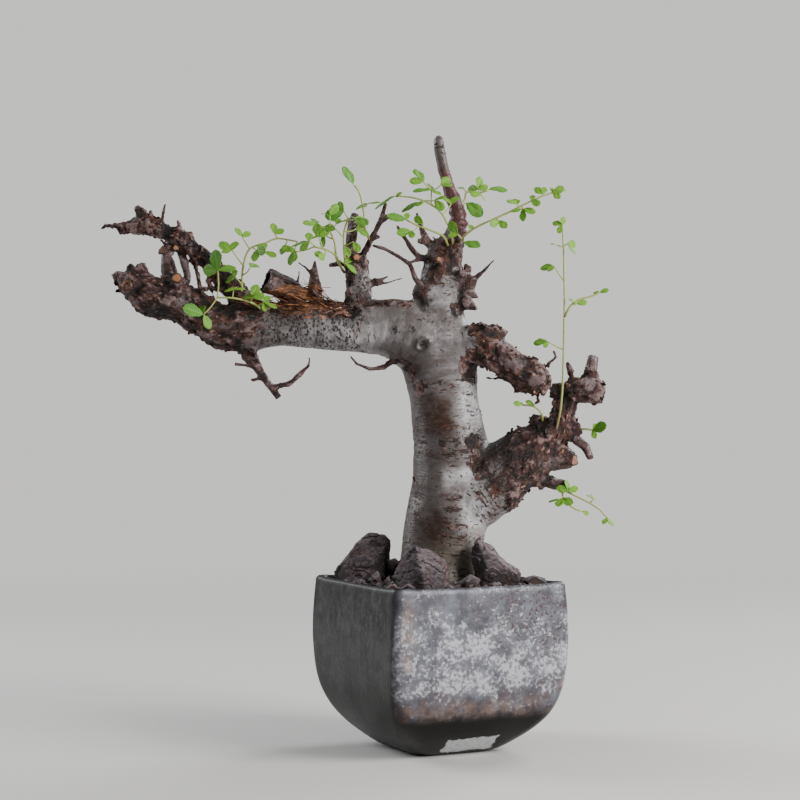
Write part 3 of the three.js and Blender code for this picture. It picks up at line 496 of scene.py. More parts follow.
# Rusty specks towards the upper right, and the bare patch at the foot
specks = use_patches(tree, place, 0.0016, 0.33, 0.05, 2)
flecks = times(tree, specks, times(tree, fired_and_lit, rise(tree, height, 0.045, 0.085)))
flecks = times(tree, flecks, between(tree, rise(tree, along, -0.02, 0.03), 0.2, 1.0))
colour = lay(tree, colour, GLAZE_SPECK, flecks, 0.9)
stray = wander_by(tree, use_patches(tree, place, 0.006, 0.5, 0.6), 0.004)
bare = rise(tree, toward_lit_fired_side, 0.25, 0.4)
for value, (low, high) in (
    (plus(tree, along, stray), BARE_ALONG), (plus(tree, height, times(tree, stray, 0.6)), BARE_UP),
):
    bare = times(tree, bare, rise(tree, value, low, low + BARE_EDGE))
    bare = times(tree, bare, opposite(tree, rise(tree, value, high, high + BARE_EDGE)))
colour = blend(tree, bare, colour, mottle(tree, place, 0.003, GLAZE_BARE, GLAZE_BARE_DULL, 0.3, 0.3))
finish(tree, shader, colour, between(tree, silver, 0.36, 0.50), 0.22)
shader.inputs["Metallic"].default_value = 0.1
relief = plus(tree, times(tree, speckle, 0.5), times(tree, runs, 0.4))
emboss(tree, shader, plus(tree, relief, times(tree, flecks, -1.0)), 0.35, 0.0004)

bowl = add_piece("bowl", points * MM, faces, glaze)
drains = []
for x, y in itertools.product((-DRAIN_OFFSET, DRAIN_OFFSET), repeat=2):
    bpy.ops.mesh.primitive_cylinder_add(vertices=32, radius=DRAIN_RADIUS * MM, depth=3 * POT_FLOOR * MM)
    drain = bpy.context.object
    drain.location = np.array([*turned(x, y), 0]) * MM
    drains.append(drain)
    cut = bowl.modifiers.new("drain", "BOOLEAN")
    cut.operation = "DIFFERENCE"
    cut.object = drain
    cut.solver = "EXACT"
bpy.context.view_layer.update()
bowl.data = worked(bowl)
bowl.modifiers.clear()
for drain in drains:
    bpy.data.objects.remove(drain)
places = spots_in(bowl.data)
sideways = np.abs(turned(places[:, 0], places[:, 1], -POT_TURN))
to_corner = np.abs(sideways[0] - sideways[1])
# Painted shade, laid by the glaze: along the upright corners and the fold above the foot
upright = np.clip(1 - to_corner / 9, 0, 1) * np.clip((places[:, 2] - 30) / 20, 0, 1)
foot_fold = np.exp(-(((places[:, 2] - 27 - 6 * (to_corner / 60)) / 5.5) ** 2))
set_values(bowl, "painted_corner_and_fold_shade", np.clip(upright + 0.8 * foot_fold, 0, 1))
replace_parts(bowl, "pot")


# Soil
# Dark open grit, kept moist, fills the bowl to just under its rim.
# It was poured in round the roots and firmed by hand.

SOIL_DARK = (0.012, 0.009, 0.008, 1)
SOIL_PALE = (0.075, 0.055, 0.048, 1)

grit, tree, shader = new_material("moist_grit")
place = own_place(tree)
finish(tree, shader, mottle(tree, place, 0.004, SOIL_DARK, SOIL_PALE), 0.9)
cells = add_node(tree, "TexVoronoi", {"Vector": place, "Scale": 420.0})
emboss(tree, shader, cells.outputs["Distance"], 0.9, 0.0012)
soil = frame["nodes"]["soil"]
soil.data.materials.clear()
soil.data.materials.append(grit)


# Trunk
# One grown piece: trunk, arm, neck, cut stubs and dead twigs. The trunk and the near half of the arm carry
# smooth living bark with corky dashes round them, and the rest is dry dead wood that flakes in plates.

ROUTES = {
    "trunk": [
        [2, 6, 62, 8], [2, 6, 78, 16], [1, 5, 96, 25], [1, 4, 110, 27.5], [1, 4, 120, 26], [3, 4, 134, 26.5],
        [5, 3, 148, 27], [7, 3, 161, 26.5], [8, 2, 174, 26], [8.5, 2, 187, 25.5], [8, 1, 200, 24.5],
        [5, 1, 213, 23], [3.5, 0, 226, 22], [2, 0, 240, 23.5], [0, 0, 254, 25], [1, 1, 268, 21],
        [1, 2, 280, 16.5], [1, 2, 292, 14.5], [2, 2, 308, 13.5], [5, 2, 322, 11.5], [9.5, 2, 331, 7.5],
    ],
    "arm": [
        [10, 0, 244, 17], [-4, -1, 258, 22], [-17, -2, 268, 22], [-32, -2, 272.5, 19.5],
        [-48, -3, 272.5, 17.5], [-64, -4, 273, 16.2], [-83, -5, 274.5, 16.5], [-103, -6, 274.5, 14.5],
        [-122, -7, 272, 15], [-139, -8, 272.5, 14.5], [-152, -9, 279, 13], [-165, -10, 287.5, 12.5],
        [-178, -11, 291, 13.5], [-188, -11, 293.5, 13], [-197, -11, 299, 11], [-204, -11, 303, 6.5],
    ],
    "top_stub": [
        [8, 2, 326, 8], [12.5, 2, 335, 6.4], [13.3, 2, 343, 6.2], [11.4, 2, 352.5, 5.5], [7.5, 2, 362, 4.9],
        [3.6, 2, 375, 4.2], [1, 2, 388, 4.3], [0.3, 2, 395, 4], [0.2, 2, 398.5, 1.8],
    ],
    "lower_right": [
        [6, 2, 152, 20], [22, 0, 165, 23], [37, -2, 176, 22.5], [47, -3, 183, 20], [58, -4, 191, 18.5],
        [68, -5, 199, 13], [78, -6, 209, 9], [82, -6, 221, 7.5], [84, -7, 230, 7],
    ],
    "right_head": [
        [73, -7, 232, 4.5], [84, -7, 231, 7.5], [94, -8, 233, 9.5], [102, -8, 230, 8], [106, -8, 227, 4.5],
    ],
    "upper_right": [
        [2, -4, 254, 15], [14, -9, 260, 14], [26, -12, 261, 12.5], [37, -15, 256, 11.5], [46, -17, 248, 10.5],
        [56, -18, 242, 11], [63, -19, 237.5, 9.5], [67.5, -20, 235, 7.5],
    ],
    "upper_left": [
        [-118, -6, 280, 8], [-134, -4, 298, 7], [-145, -1, 310, 6.5], [-155, 2, 321, 6], [-165, 4, 329, 6],
        [-176, 6, 335, 5.2], [-186, 7, 339, 5.8], [-194, 8, 341, 6.2], [-204, 8, 339, 4],
        [-219, 7, 339.5, 0.9],
    ],
    "left_stub": [[-51.5, -5, 288, 9.5], [-52, -5, 293, 8.8], [-53, -6, 309, 7.6], [-52.5, -6, 320, 5.8]],
}
WOOD_GRID = 0.84 * MM  # spacing of the surface that is shaped
WOOD_TRIANGLES = 196000  # left of it in the finished piece
ROUND_OFF = {"trunk": 70, "arm": 60, "lower_right": 45, "upper_right": 35, "top_stub": 14}
OTHER_ROUND_OFF, STUB_ROUND_OFF = 10, 5
ROUNDS_AT_ONCE, SPOTS_AT_ONCE = 10, 8000


def smooth_route(route, step=1.5):
    """Points along a limb about step apart, with radius, arc length and a frame that doesn't twist."""
    rows = np.array(route, dtype=float)
    padded = np.vstack([2 * rows[0] - rows[1], rows, 2 * rows[-1] - rows[-2]])
    points = []
    for k in range(1, len(padded) - 2):
        p0, p1, p2, p3 = padded[k - 1:k + 3]
        count = max(1, int(np.linalg.norm((p2 - p1)[:3]) / step))
        for i in range(count):
            t = i / count
            bend = (2 * p0 - 5 * p1 + 4 * p2 - p3) * t**2 + (3 * p1 - p0 - 3 * p2 + p3) * t**3
            points.append(0.5 * (2 * p1 + (p2 - p0) * t + bend))
    points.append(rows[-1])
    points = np.array(points)
    tangents = np.gradient(points[:, :3], axis=0)
    tangents /= np.linalg.norm(tangents, axis=1)[:, None]
    lengths = np.hstack([0, np.cumsum(np.linalg.norm(np.diff(points[:, :3], axis=0), axis=1))])
    side = np.cross(tangents[0], [0.31, 0.2, 0.93])
    sides = []
    for tangent in tangents:
        side = side - tangent * side.dot(tangent)
        side = side / np.linalg.norm(side)
        sides.append(side)
    return points, lengths, tangents, np.array(sides)


limb_points, limb_rows, limb_names = [], [], np.array(list(ROUTES))
for index, route in enumerate(ROUTES.values()):
    points, lengths, tangents, sides = smooth_route(route)
    limb_points.append(points)
    ups = np.cross(sides, tangents)
    numbers = np.full(len(points), index)
    limb_rows.append(np.column_stack([lengths + 500 * index, tangents, sides, ups, numbers]))
limb_points = np.vstack(limb_points)
limb_rows = np.vstack(limb_rows)


def on_limbs(spots):
    """How far each spot is outside its nearest limb, its row there, and its place on the straight limb."""
    nearest = np.zeros(len(spots), dtype=int)
    outside_by = np.zeros(len(spots))
    middles, radii = limb_points[:, :3], limb_points[:, 3]
    for start in range(0, len(spots), SPOTS_AT_ONCE):
        part = spots[start:start + SPOTS_AT_ONCE]
        squares = (part**2).sum(1)[:, None] + (middles**2).sum(1) - 2 * part @ middles.T
        apart = np.sqrt(np.maximum(squares, 0)) - radii
        nearest[start:start + SPOTS_AT_ONCE] = apart.argmin(axis=1)
        outside_by[start:start + SPOTS_AT_ONCE] = apart.min(axis=1)
    rows = limb_rows[nearest]
    offset = spots - middles[nearest]
    along, across, upward = ((offset * rows[:, k:k + 3]).sum(1) for k in (1, 4, 7))
    return outside_by, rows, np.column_stack([across, upward, rows[:, 0] + along])


def smooth_spots(spots, pairs, weights, rounds):
    """Moves each spot towards the mean of its neighbours, by its weight, a number of times."""
    count = np.bincount(pairs.ravel(), minlength=len(spots)).astype(float)[:, None]
    for _ in range(rounds):
        total = np.zeros_like(spots)
        for axis in range(3):
            total[:, axis] = np.bincount(pairs[:, 0], spots[pairs[:, 1], axis], len(spots))
            total[:, axis] += np.bincount(pairs[:, 1], spots[pairs[:, 0], axis], len(spots))
        spots = spots + (total / count - spots) * weights
    return spots


def remeshed(node, grid):
    """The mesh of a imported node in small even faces, with its spots in millimetres and its edges."""
    rough = bpy.data.objects.new(node + "_rough", frame["nodes"][node].data.copy())
    scene.collection.objects.link(rough)
    skin = rough.modifiers.new("skin", "REMESH")
    skin.mode = "VOXEL"
    skin.voxel_size = grid
    bpy.context.view_layer.update()
    mesh = worked(rough)
    bpy.data.objects.remove(rough)
    pairs = np.zeros(len(mesh.edges) * 2, dtype=int)
    mesh.edges.foreach_get("vertices", pairs)
    return mesh, spots_in(mesh), pairs.reshape(-1, 2)


def directions(mesh, spots):
    """Places the spots in the mesh and gives the direction that each faces."""
    mesh.vertices.foreach_set("co", (spots * MM).ravel())
    mesh.update()
    facing = np.zeros(len(spots) * 3)
    mesh.vertices.foreach_get("normal", facing)
    return facing.reshape(-1, 3)


def soft_step(value, low, high):
    """0 below low and 1 above high, with a smooth rise between."""
    risen = np.clip((value - low) / (high - low), 0, 1)
    return risen * risen * (3 - 2 * risen)


wood_mesh, spots, pairs = remeshed("trunk", WOOD_GRID)
outside_by, rows, _ = on_limbs(spots)
thick = 1 - soft_step(outside_by, 0.8, 3.0)
spots = smooth_spots(spots, pairs, (0.12 + 0.38 * thick)[:, None], STUB_ROUND_OFF)
rounds = np.array([ROUND_OFF.get(name, OTHER_ROUND_OFF) for name in limb_names])
rounds = rounds[rows[:, 10].astype(int)] * thick
for done in range(0, max(ROUND_OFF.values()), ROUNDS_AT_ONCE):
    spots = smooth_spots(spots, pairs, (0.5 * (rounds > done))[:, None], ROUNDS_AT_ONCE)
outside_by, rows, straight = on_limbs(spots)
limb = limb_names[rows[:, 10].astype(int)]
ragged = 0.5 * lump_noise(spots, 9, 11) + 0.3 * lump_noise(spots, 3.5, 12)
blotches = soft_step(lump_noise(spots, 8, 13) + 0.4 * lump_noise(spots, 3, 14), -0.25, 0.35)
x, y, z = spots.T


def near_spot(centre, reach, inner, outer):
    """1 close to a centre, falling to 0 between two shares of its reach, with a ragged border."""
    apart = np.linalg.norm(spots - centre, axis=1)
    return 1 - soft_step(apart + 5 * ragged, inner * reach, outer * reach)


def front_oval(cx, cz, reach_x, reach_z):
    """An oval, as the front shows it, that fades outwards."""
    return np.exp(-(((x - cx) / reach_x) ** 2 + ((z - cz) / reach_z) ** 2))


# How dead the wood is, limb by limb, with ragged borders
arm_end = soft_step(-x + 30 * ragged + 9 * lump_noise(spots, 17, 15), 98, 140)
arm_top = 0.9 * soft_step(z + 7 * ragged, 275, 283) * soft_step(-x + 8 * ragged, 46, 58)
dead = np.ones(len(spots))
dead = np.where(limb == "trunk", soft_step(z + 12 * ragged, 292, 316) * (0.30 + 0.60 * blotches), dead)
dead = np.where(limb == "arm", np.maximum(arm_end, arm_top), dead)
dead = np.where(limb == "lower_right", soft_step(x + 12 * ragged, 34, 52), dead)
dead = np.where(limb == "upper_right", soft_step(x + 8 * ragged, 14, 26), dead)
above_arm = soft_step(z + 4 * ragged, 284, 291)
stub_side = soft_step(-(x + 53) + 5 * ragged + 0.25 * (z - 300), -1, 4) * above_arm
dead = np.where(limb == "left_stub", np.maximum(stub_side, soft_step(z + 8 * ragged, 300, 320)), dead)
dead = np.where(limb == "top_stub", 0.0, dead)
dead = np.maximum(dead, soft_step(outside_by, 1.2, 3.2) * soft_step(ragged + 0.6, 0, 0.4))
ROUGH_SPOTS = [  # [x, y, z, reach, strength] of rough or scarred bark on the living part
    [26, -18, 246, 17, 0.9], [-26, -16, 247, 9, 0.95], [-21, -16, 240, 7, 0.95], [-13, -16, 233, 7, 0.8],
    [34, -14, 174, 15, 0.8], [24, -18, 199, 9, 0.75], [27, -20, 186, 9, 0.7], [-34, -14, 290, 9, 0.9],
    [-21, -14, 290, 9, 0.9], [12, -12, 284, 7, 0.6], [24, -12, 270, 10, 0.85], [-45, -12, 289, 8, 0.8],
    [-6, -14, 304, 8, 0.85], [-4, -14, 315, 8, 0.85], [6, -14, 296, 3, 0.9], [7, -15, 290, 3, 0.9],
    [9, -16, 284, 3, 0.9],
    [27, -14, 134, 6, 0.6], [31, -12, 162, 10, 0.7], [-40, 6, 262, 12, 0.6], [20, 18, 250, 16, 0.8],
    [10, 28, 214, 12, 0.8], [-20, -14, 212, 5, 0.8], [-20, -14, 200, 5, 0.8], [9, -24, 144, 4.5, 0.75],
    [-23, 10, 190, 8, 0.7], [-8, 26, 168, 7, 0.7], [26, 8, 222, 8, 0.7],
]
for *centre, reach, strength in ROUGH_SPOTS:
    dead = np.maximum(dead, strength * near_spot(centre, reach, 0.55, 1))
dead = np.clip(dead, 0, 1)
slim = soft_step(outside_by, 2.5, 6.0) * soft_step(np.linalg.norm(spots - [-97, 0, 297], axis=1), 17, 24)
purple = slim * (0.55 + 0.35 * blotches)
purple = np.where(limb == "top_stub", 1 - soft_step(z + 6 * ragged, 368, 384), purple)
dead = np.where((limb == "top_stub") | (slim > 0.5), dead * (0.18 + 0.42 * blotches), dead)

# Smooth old skin that is left on the dead limbs, painted paler as a sheen on the front, and painted shade:
# places painted nearly black where shade falls under limbs and behind leaves
OLD_SKIN_AND_SHEEN_SPOTS = [  # [x, z, reach in x, reach in z] on the front
    [-165, 288, 9, 8], [-121, 262, 9, 5], [-137, 273, 9, 4], [48, 250, 11, 7], [97, 236, 7, 6],
    [73, 184, 8, 6],
    [-180, 337, 12, 5], [12, 303, 5, 12], [-196, 288, 6, 4], [62, 238, 7, 5],
]
old_skin_and_sheen = 0.6 * soft_step(lump_noise(spots, 12, 36) + 0.3 * ragged, 0.45, 0.80)
for oval in OLD_SKIN_AND_SHEEN_SPOTS:
    near = front_oval(*oval) * (1 - soft_step(y, -4, 8))
    old_skin_and_sheen = np.maximum(old_skin_and_sheen, soft_step(near + 0.6 * ragged, 0.3, 1.0))
PAINTED_SHADE_SPOTS = [  # [x, y, z, reach]
    [36, -12, 196, 18], [46, -16, 187, 11], [50, -10, 204, 10], [22, -14, 243, 9], [30, -14, 250, 8],
    [-132, -18, 288, 10], [-100, -12, 292, 11], [-98, -6, 301, 13], [-45, -14, 292, 7], [-9, -14, 289, 8],
    [-186, -18, 284, 9], [-88, 6, 288, 10], [20, 10, 252, 9], [40, 12, 188, 14],
]
painted_shade = np.zeros(len(spots))
for *centre, reach in PAINTED_SHADE_SPOTS:
    painted_shade = np.maximum(painted_shade, near_spot(centre, reach, 0.45, 1.1))

# The mouth of the hollow broken branch on the arm, painted black as the shade inside it
MOUTH = np.array([-111, 0, 302])
to_mouth = np.linalg.norm((spots - MOUTH) * [0.8, 0.45, 1], axis=1)

# Scars of old branches: a raised ring round a rough sunken face
SCARS = [  # [x, y, z, radius, height]
    [-10.3, -25, 261, 5.4, 1.0], [-28.8, -22, 270.5, 2.6, 0.4], [-17.3, -24, 271, 2.4, 0.4],
    [2.5, -28, 198, 3.4, 0.5], [-14, 22, 246, 5.0, 0.9], [14, 26, 176, 4.5, 0.8], [-30, 14, 274, 4.0, 0.7],
]
scar = np.zeros(len(spots))
scar_lift = np.zeros(len(spots))
for *centre, radius, lift in SCARS:
    apart = np.linalg.norm((spots - centre) * [1, 0.5, 1], axis=1) + 0.8 * ragged
    ring = np.exp(-(((apart - 0.85 * radius) / (0.28 * radius)) ** 2))
    hollow = 1 - soft_step(apart, 0.45 * radius, 0.75 * radius)
    scar_lift += lift * (ring - 0.6 * hollow)
    scar = np.maximum(scar, np.maximum(0.85 * ring, hollow))

# Relief: lumps and rings on the living bark, deep ridges and lifted plates on the dead wood
facing = directions(wood_mesh, spots)
mouth = (1 - soft_step(to_mouth + 1.2 * ragged, 4.2, 6.2)) * (facing[:, 0] < -0.3)
bands = lump_noise(straight * [0.12, 0.12, 1], 3.2, 21)
folds = lump_noise(straight * [0.3, 0.3, 1], 7, 22)
level = z + 1.6 * lump_noise(spots, 16, 29) + 0.5 * lump_noise(spots, 5, 30)
BANDS = [  # [height, half width, strength] of the belts of corky dashes round the trunk
    [236.5, 1.6, 0.8], [229, 1.6, 0.5], [217, 1.8, 0.5], [208, 2.5, 0.6], [198.5, 3.5, 1.0], [191, 3.0, 0.9],
    [177, 2.0, 0.5], [163.5, 1.4, 1.0], [156, 2.5, 0.6], [147, 2.5, 0.5], [138, 2.0, 0.35], [128, 2.0, 0.4],
]
belts = np.zeros(len(spots))
creases = np.zeros(len(spots))
parts_of_turn = soft_step(lump_noise(spots * [1, 1, 0.25], 13, 33), -0.35, 0.3)
for belt_height, half_width, strength in BANDS:
    belts = np.maximum(belts, strength * np.exp(-(((level - belt_height) / half_width) ** 2)))
    creases += 0.55 * strength**2 * np.exp(-(((level - belt_height) / 0.75) ** 2)) * parts_of_turn
belts = np.where(limb == "trunk", belts * (0.35 + 0.65 * parts_of_turn), 0)
creases = np.where(limb == "trunk", creases, 0)
living_relief = 0.35 * lump_noise(spots, 13, 23) + 0.20 * folds + 0.10 * bands - creases + scar_lift
rings_of_stub = np.cos(2 * np.pi * (z + 1.5 * ragged) / 6.2)
rings_of_stub = rings_of_stub * soft_step(-z, -356, -344) * (limb == "top_stub")
living_relief += 0.35 * purple * lump_noise(straight * [0.1, 0.1, 1], 4, 34) + 0.55 * rings_of_stub
ridges = 1 - np.abs(lump_noise(straight * [1, 1, 0.45], 4.6, 24))
ridges = ridges * 0.6 + 0.4 * (1 - np.abs(lump_noise(spots, 2.4, 25)))
plates = 0.5 + 0.5 * lump_noise(spots, 5.5, 26) + 0.22 * lump_noise(spots, 2.1, 27)
steps = np.floor(plates * 5) + soft_step(plates * 5 - np.floor(plates * 5), 0.72, 1)
dead_relief = 2.4 * (ridges - 0.62) + 0.45 * (steps - 2.4) + 1.1 * lump_noise(spots, 8, 28)
slender = 1 - 0.65 * soft_step(outside_by, 2, 6)
relief = (1 - dead) * living_relief + dead * slender * dead_relief * (1 - 0.7 * old_skin_and_sheen)
spots = spots + facing * relief[:, None] + np.outer(mouth * 2.8, [0.9, 0, -0.4])
spots = smooth_spots(spots, pairs, np.full((len(spots), 1), 0.12), 1)
facing = directions(wood_mesh, spots)
raised = np.clip(0.5 + 0.45 * dead_relief, 0, 1)

# Bark colours: silver to brown on the living part, with painted shade and highlight on the front,
# orange where the fibres are torn open
# Painted light: brown ovals paint shade on the middle and left, silver ones paint highlight on the right
TONE_SHADE_AND_HIGHLIGHT_SPOTS = [  # [x, z, reach in x, reach in z, tone] on the front, from -1 for brown to 1 for silver
    [-1, 223, 13, 8, -0.95], [1, 208, 15, 8, -1.0], [-6, 142, 17, 19, -1.1], [-12, 172, 10, 10, -0.6],
    [-2, 190, 16, 7, -0.55], [-19, 246, 10, 12, -0.7], [-32, 257, 12, 6, -0.6], [-5, 182, 10, 8, -0.3],
    [20, 222, 8, 14, 1.25], [13, 178, 15, 7, 0.9], [23, 152, 10, 15, 1.3], [-50, 267, 24, 9, 0.7],
    [-1, 292, 9, 9, 0.8], [4, 268, 12, 6, 0.5], [-24, 190, 5, 60, 0.5], [-14, 118, 20, 8, -0.3],
]
tone = 0.75 * lump_noise(spots * [1, 1, 0.8], 19, 31) + 0.25 * lump_noise(spots, 7, 32)
tone = np.where(y < 4, 0.35 * tone, tone)
for *oval, strength in TONE_SHADE_AND_HIGHLIGHT_SPOTS:
    tone += strength * front_oval(*oval) * (1 - soft_step(y, -6, 6))
tone = np.clip(tone, -1, 1)
arm_part = soft_step(-x + 8 * ragged, 45, 54) * (limb == "arm")
speckled = np.maximum.reduce([
    0.30 + 0.9 * belts + 0.25 * soft_step(lump_noise(spots, 15, 35), 0, 0.6), 1.6 * arm_part,
    1.4 * above_arm * (limb == "left_stub"), 0.7 * soft_step(z + 6 * ragged, 290, 300) * (limb == "trunk"),
    0.7 * (limb == "lower_right"), 0.45 * (limb == "top_stub"),
])
between_limbs = pairs[limb[pairs[:, 0]] != limb[pairs[:, 1]]]
speckled[between_limbs.ravel()] = -0.5
torn = front_oval(-90, 290, 27, 8.5) * (y < 8) * (limb != "left_stub")
torn = np.clip(1.5 * torn + 0.7 * ragged * (torn > 0.15), 0, 1)

PERIDERM_LIGHT = (0.46, 0.44, 0.46, 1)
PERIDERM_GREY = (0.112, 0.098, 0.097, 1)
PERIDERM_BROWN = (0.034, 0.0145, 0.009, 1)
PERIDERM_MOSSY = (0.125, 0.108, 0.068, 1)
TWIG_PURPLE = (0.105, 0.034, 0.035, 1)
CORK_DARK = (0.012, 0.007, 0.006, 1)
CORK_RUST = (0.20, 0.070, 0.036, 1)
DEAD_BLACK = (0.007, 0.004, 0.004, 1)
DEAD_BROWN = (0.046, 0.0145, 0.0115, 1)
DEAD_PALE = (0.26, 0.18, 0.175, 1)
SKIN_DARK = (0.040, 0.020, 0.020, 1)
SKIN_SHEEN_PALE = (0.19, 0.140, 0.143, 1)
FIBRE_DARK = (0.060, 0.022, 0.010, 1)
FIBRE_LIGHT = (0.26, 0.105, 0.046, 1)

bark, tree, shader = new_material("commiphora_bark")
place = own_place(tree)
grain = read(tree, "straight", "Vector")

# Living bark: brown to silver, with the tone's painted shade and highlight, mossy near the soil,
# with rust-rimmed corky dashes and dots
mist = use_patches(tree, stretch(tree, grain, 1, 1, 1.5), 0.010, 0.5, 0.6, 5)
silvery = plus(tree, read(tree, "tone"), wander_by(tree, mist, 0.8))
living = blend(tree, rise(tree, silvery, -1.1, -0.15), PERIDERM_BROWN, PERIDERM_GREY)
living = blend(tree, rise(tree, silvery, -0.15, 1.1), living, PERIDERM_LIGHT)
veil = use_patches(tree, stretch(tree, grain, 0.4, 0.4, 1.6), 0.0036, 0.42, 0.4, 5)
living = lay(tree, living, PERIDERM_BROWN, veil, 0.40)
near_soil = opposite(tree, rise(tree, upward_part(tree, place), 0.118, 0.145))
living = lay(tree, living, PERIDERM_MOSSY, near_soil, 0.55)
crowd = read(tree, "speckled")
dash_place = stretch(tree, grain, 0.24, 0.24, 1.2)
not_too_many = opposite(tree, rise(tree, crowd, 1.1, 1.5))
dashes = use_patches(tree, dash_place, 0.0023, between(tree, crowd, 0.10, 0.42), 0.06, 4)
dashes = times(tree, dashes, not_too_many)
dash_rims = use_patches(tree, dash_place, 0.0023, between(tree, crowd, 0.15, 0.49), 0.12, 4)
dash_rims = times(tree, dash_rims, not_too_many)
dot_share = between(tree, crowd, 0.12, 0.42)
dots = use_patches(tree, stretch(tree, grain, 0.75, 0.75, 1.0), 0.0018, dot_share, 0.10, 4)
rust_part = use_patches(tree, place, 0.006, 0.5, 0.3, 3)
living = lay(tree, living, CORK_RUST, dash_rims, between(tree, rust_part, 0.2, 0.8))
marks = larger(tree, dashes, dots)
living = lay(tree, living, CORK_DARK, marks, 0.93)
living = lay(tree, living, CORK_DARK, read(tree, "scar"), use_patches(tree, place, 0.0016, 0.62, 0.4, 4))
twig_skin = mottle(tree, stretch(tree, grain, 0.5, 0.5, 1.5), 0.004, TWIG_PURPLE, CORK_DARK, 0.35, 0.5)
twig_skin = lay(tree, twig_skin, DEAD_PALE, use_patches(tree, grain, 0.0022, 0.38, 0.4, 5), 0.14)
living = blend(tree, read(tree, "purple"), living, twig_skin)

# Dead wood: black in the hollows as painted shade, brown and pale on the ridges, partly weathered wood and
# partly painted light, with old skin left in places that carries a painted sheen
fine = use_patches(tree, stretch(tree, grain, 1, 1, 0.45), 0.0019, 0.5, 0.5, 6)
crumbs = crumble(tree, place, 800.0, 6.0, 0.7)
rough_height = plus(tree, times(tree, read(tree, "raised"), 0.72), times(tree, fine, 0.28))
rough_height = plus(tree, rough_height, times(tree, crumbs, 0.24))
# Painted shade in the hollows and painted light on the ridges, from the height of the relief
dry = blend(tree, rise(tree, rough_height, 0.42, 0.76), DEAD_BLACK, DEAD_BROWN)
dry = lay(tree, dry, DEAD_PALE, rise(tree, rough_height, 0.74, 1.02), 0.75)
dry = lay(tree, dry, CORK_RUST, use_patches(tree, place, 0.009, 0.30, 0.3, 4), 0.45)
# Old skin kept on the dead limbs, painted paler on the front as a sheen where they catch the light
kept_skin_and_sheen = rise(tree, plus(tree, read(tree, "old_skin_and_sheen"), wander_by(tree, fine, 0.6)), 0.35, 0.75)
old_tone = mottle(tree, stretch(tree, grain, 0.6, 0.6, 1.2), 0.005, SKIN_DARK, SKIN_SHEEN_PALE, 0.5, 0.7)
dry = lay(tree, dry, lay(tree, old_tone, DEAD_BLACK, dots, 0.8), kept_skin_and_sheen, 0.85)
worn = rise(tree, plus(tree, read(tree, "dead"), wander_by(tree, fine, 0.5)), 0.30, 0.62)
colour = blend(tree, worn, living, dry)
# Painted shade: near-black where shade falls under limbs, behind leaves and at the neck
colour = lay(tree, colour, DEAD_BLACK, read(tree, "painted_shade"), between(tree, fine, 0.95, 0.65))
strands = use_patches(tree, stretch(tree, place, 0.25, 1, 1), 0.0012, 0.5, 0.5, 4)
fibre_colour = blend(tree, strands, FIBRE_DARK, FIBRE_LIGHT)
colour = blend(tree, rise(tree, read(tree, "torn"), 0.25, 0.7), colour, fibre_colour)
# Painted shade: the hollow's mouth is painted black as the shade inside it
colour = blend(tree, read(tree, "mouth"), colour, DEAD_BLACK)
dull = larger(tree, times(tree, worn, between(tree, kept_skin_and_sheen, 1.0, 0.2)), marks)
finish(tree, shader, colour, between(tree, dull, 0.36, 0.62), 0.4)
wrinkles = crumble(tree, stretch(tree, grain, 300, 300, 1900), 1.0, 3.0)
living_height = calculate(tree, "SUBTRACT", times(tree, wrinkles, 0.35), times(tree, marks, 0.9))
living_height = plus(tree, living_height, times(tree, dash_rims, 0.35))
dead_height = plus(tree, times(tree, fine, 1.2), times(tree, crumbs, 1.1))
dead_height = times(tree, dead_height, between(tree, kept_skin_and_sheen, 1.0, 0.35))
emboss(tree, shader, between(tree, worn, living_height, dead_height), 0.9, 0.0007)

wood = place_mesh("wood", wood_mesh, bark)
for name, values in (
    ("dead", dead), ("raised", raised), ("tone", tone), ("torn", torn), ("speckled", speckled),
    ("scar", scar), ("purple", purple), ("mouth", mouth), ("old_skin_and_sheen", old_skin_and_sheen), ("painted_shade", painted_shade),
):
    set_values(wood, name, values)
set_values(wood, "straight", straight * MM, "FLOAT_VECTOR")
thinner = wood.modifiers.new("thinner", "DECIMATE")
thinner.ratio = WOOD_TRIANGLES / (2 * len(wood_mesh.polygons))
wood.data = worked(wood)
wood.modifiers.clear()
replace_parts(wood, "trunk")


# Lava stones
# Broken lumps of dark lava, laid on the grit to hold it and to brace the trunk. Their faces are split
# rough and full of pores, which carry painted shade, and the faces that point up are paler and purplish.

STONES = [
    "stone_left", "stone_front", "stone_slab", "stone_right_flat", "stone_front_small", "stone_gap_small",
    "stone_corner_flat", "stone_left_flat", "stone_back_large", "stone_back_mid", "stone_back_right",
]
LARGE_STONE, LARGE_STONE_GRID, SMALL_STONE_GRID = 0.035, 1.0 * MM, 0.7 * MM
FULL_RELIEF = 0.04  # a smaller stone has less relief
LAVA_DARK = (0.008, 0.006, 0.007, 1)
LAVA_MID = (0.030, 0.022, 0.023, 1)
LAVA_PALE = (0.175, 0.143, 0.158, 1)

lava, tree, shader = new_material("lava_rock")
place = own_place(tree)
faces_up = upward_part(tree, add_node(tree, "NewGeometry").outputs["Normal"])
colour = mottle(tree, place, 0.006, LAVA_DARK, LAVA_MID, 0.55, 0.5)
# Paler and purplish in patches on the faces that point up
paler_facing_up = times(tree, rise(tree, faces_up, 0.15, 0.70), use_patches(tree, place, 0.0035, 0.62, 0.30, 6))
colour = lay(tree, colour, LAVA_PALE, paler_facing_up, 0.85)
colour = lay(tree, colour, CORK_RUST, use_patches(tree, place, 0.008, 0.3, 0.3, 4), 0.2)
pores = add_node(tree, "TexVoronoi", {"Vector": place, "Scale": 700.0})
pits = rise(tree, pores.outputs["Distance"], 0.05, 0.35)
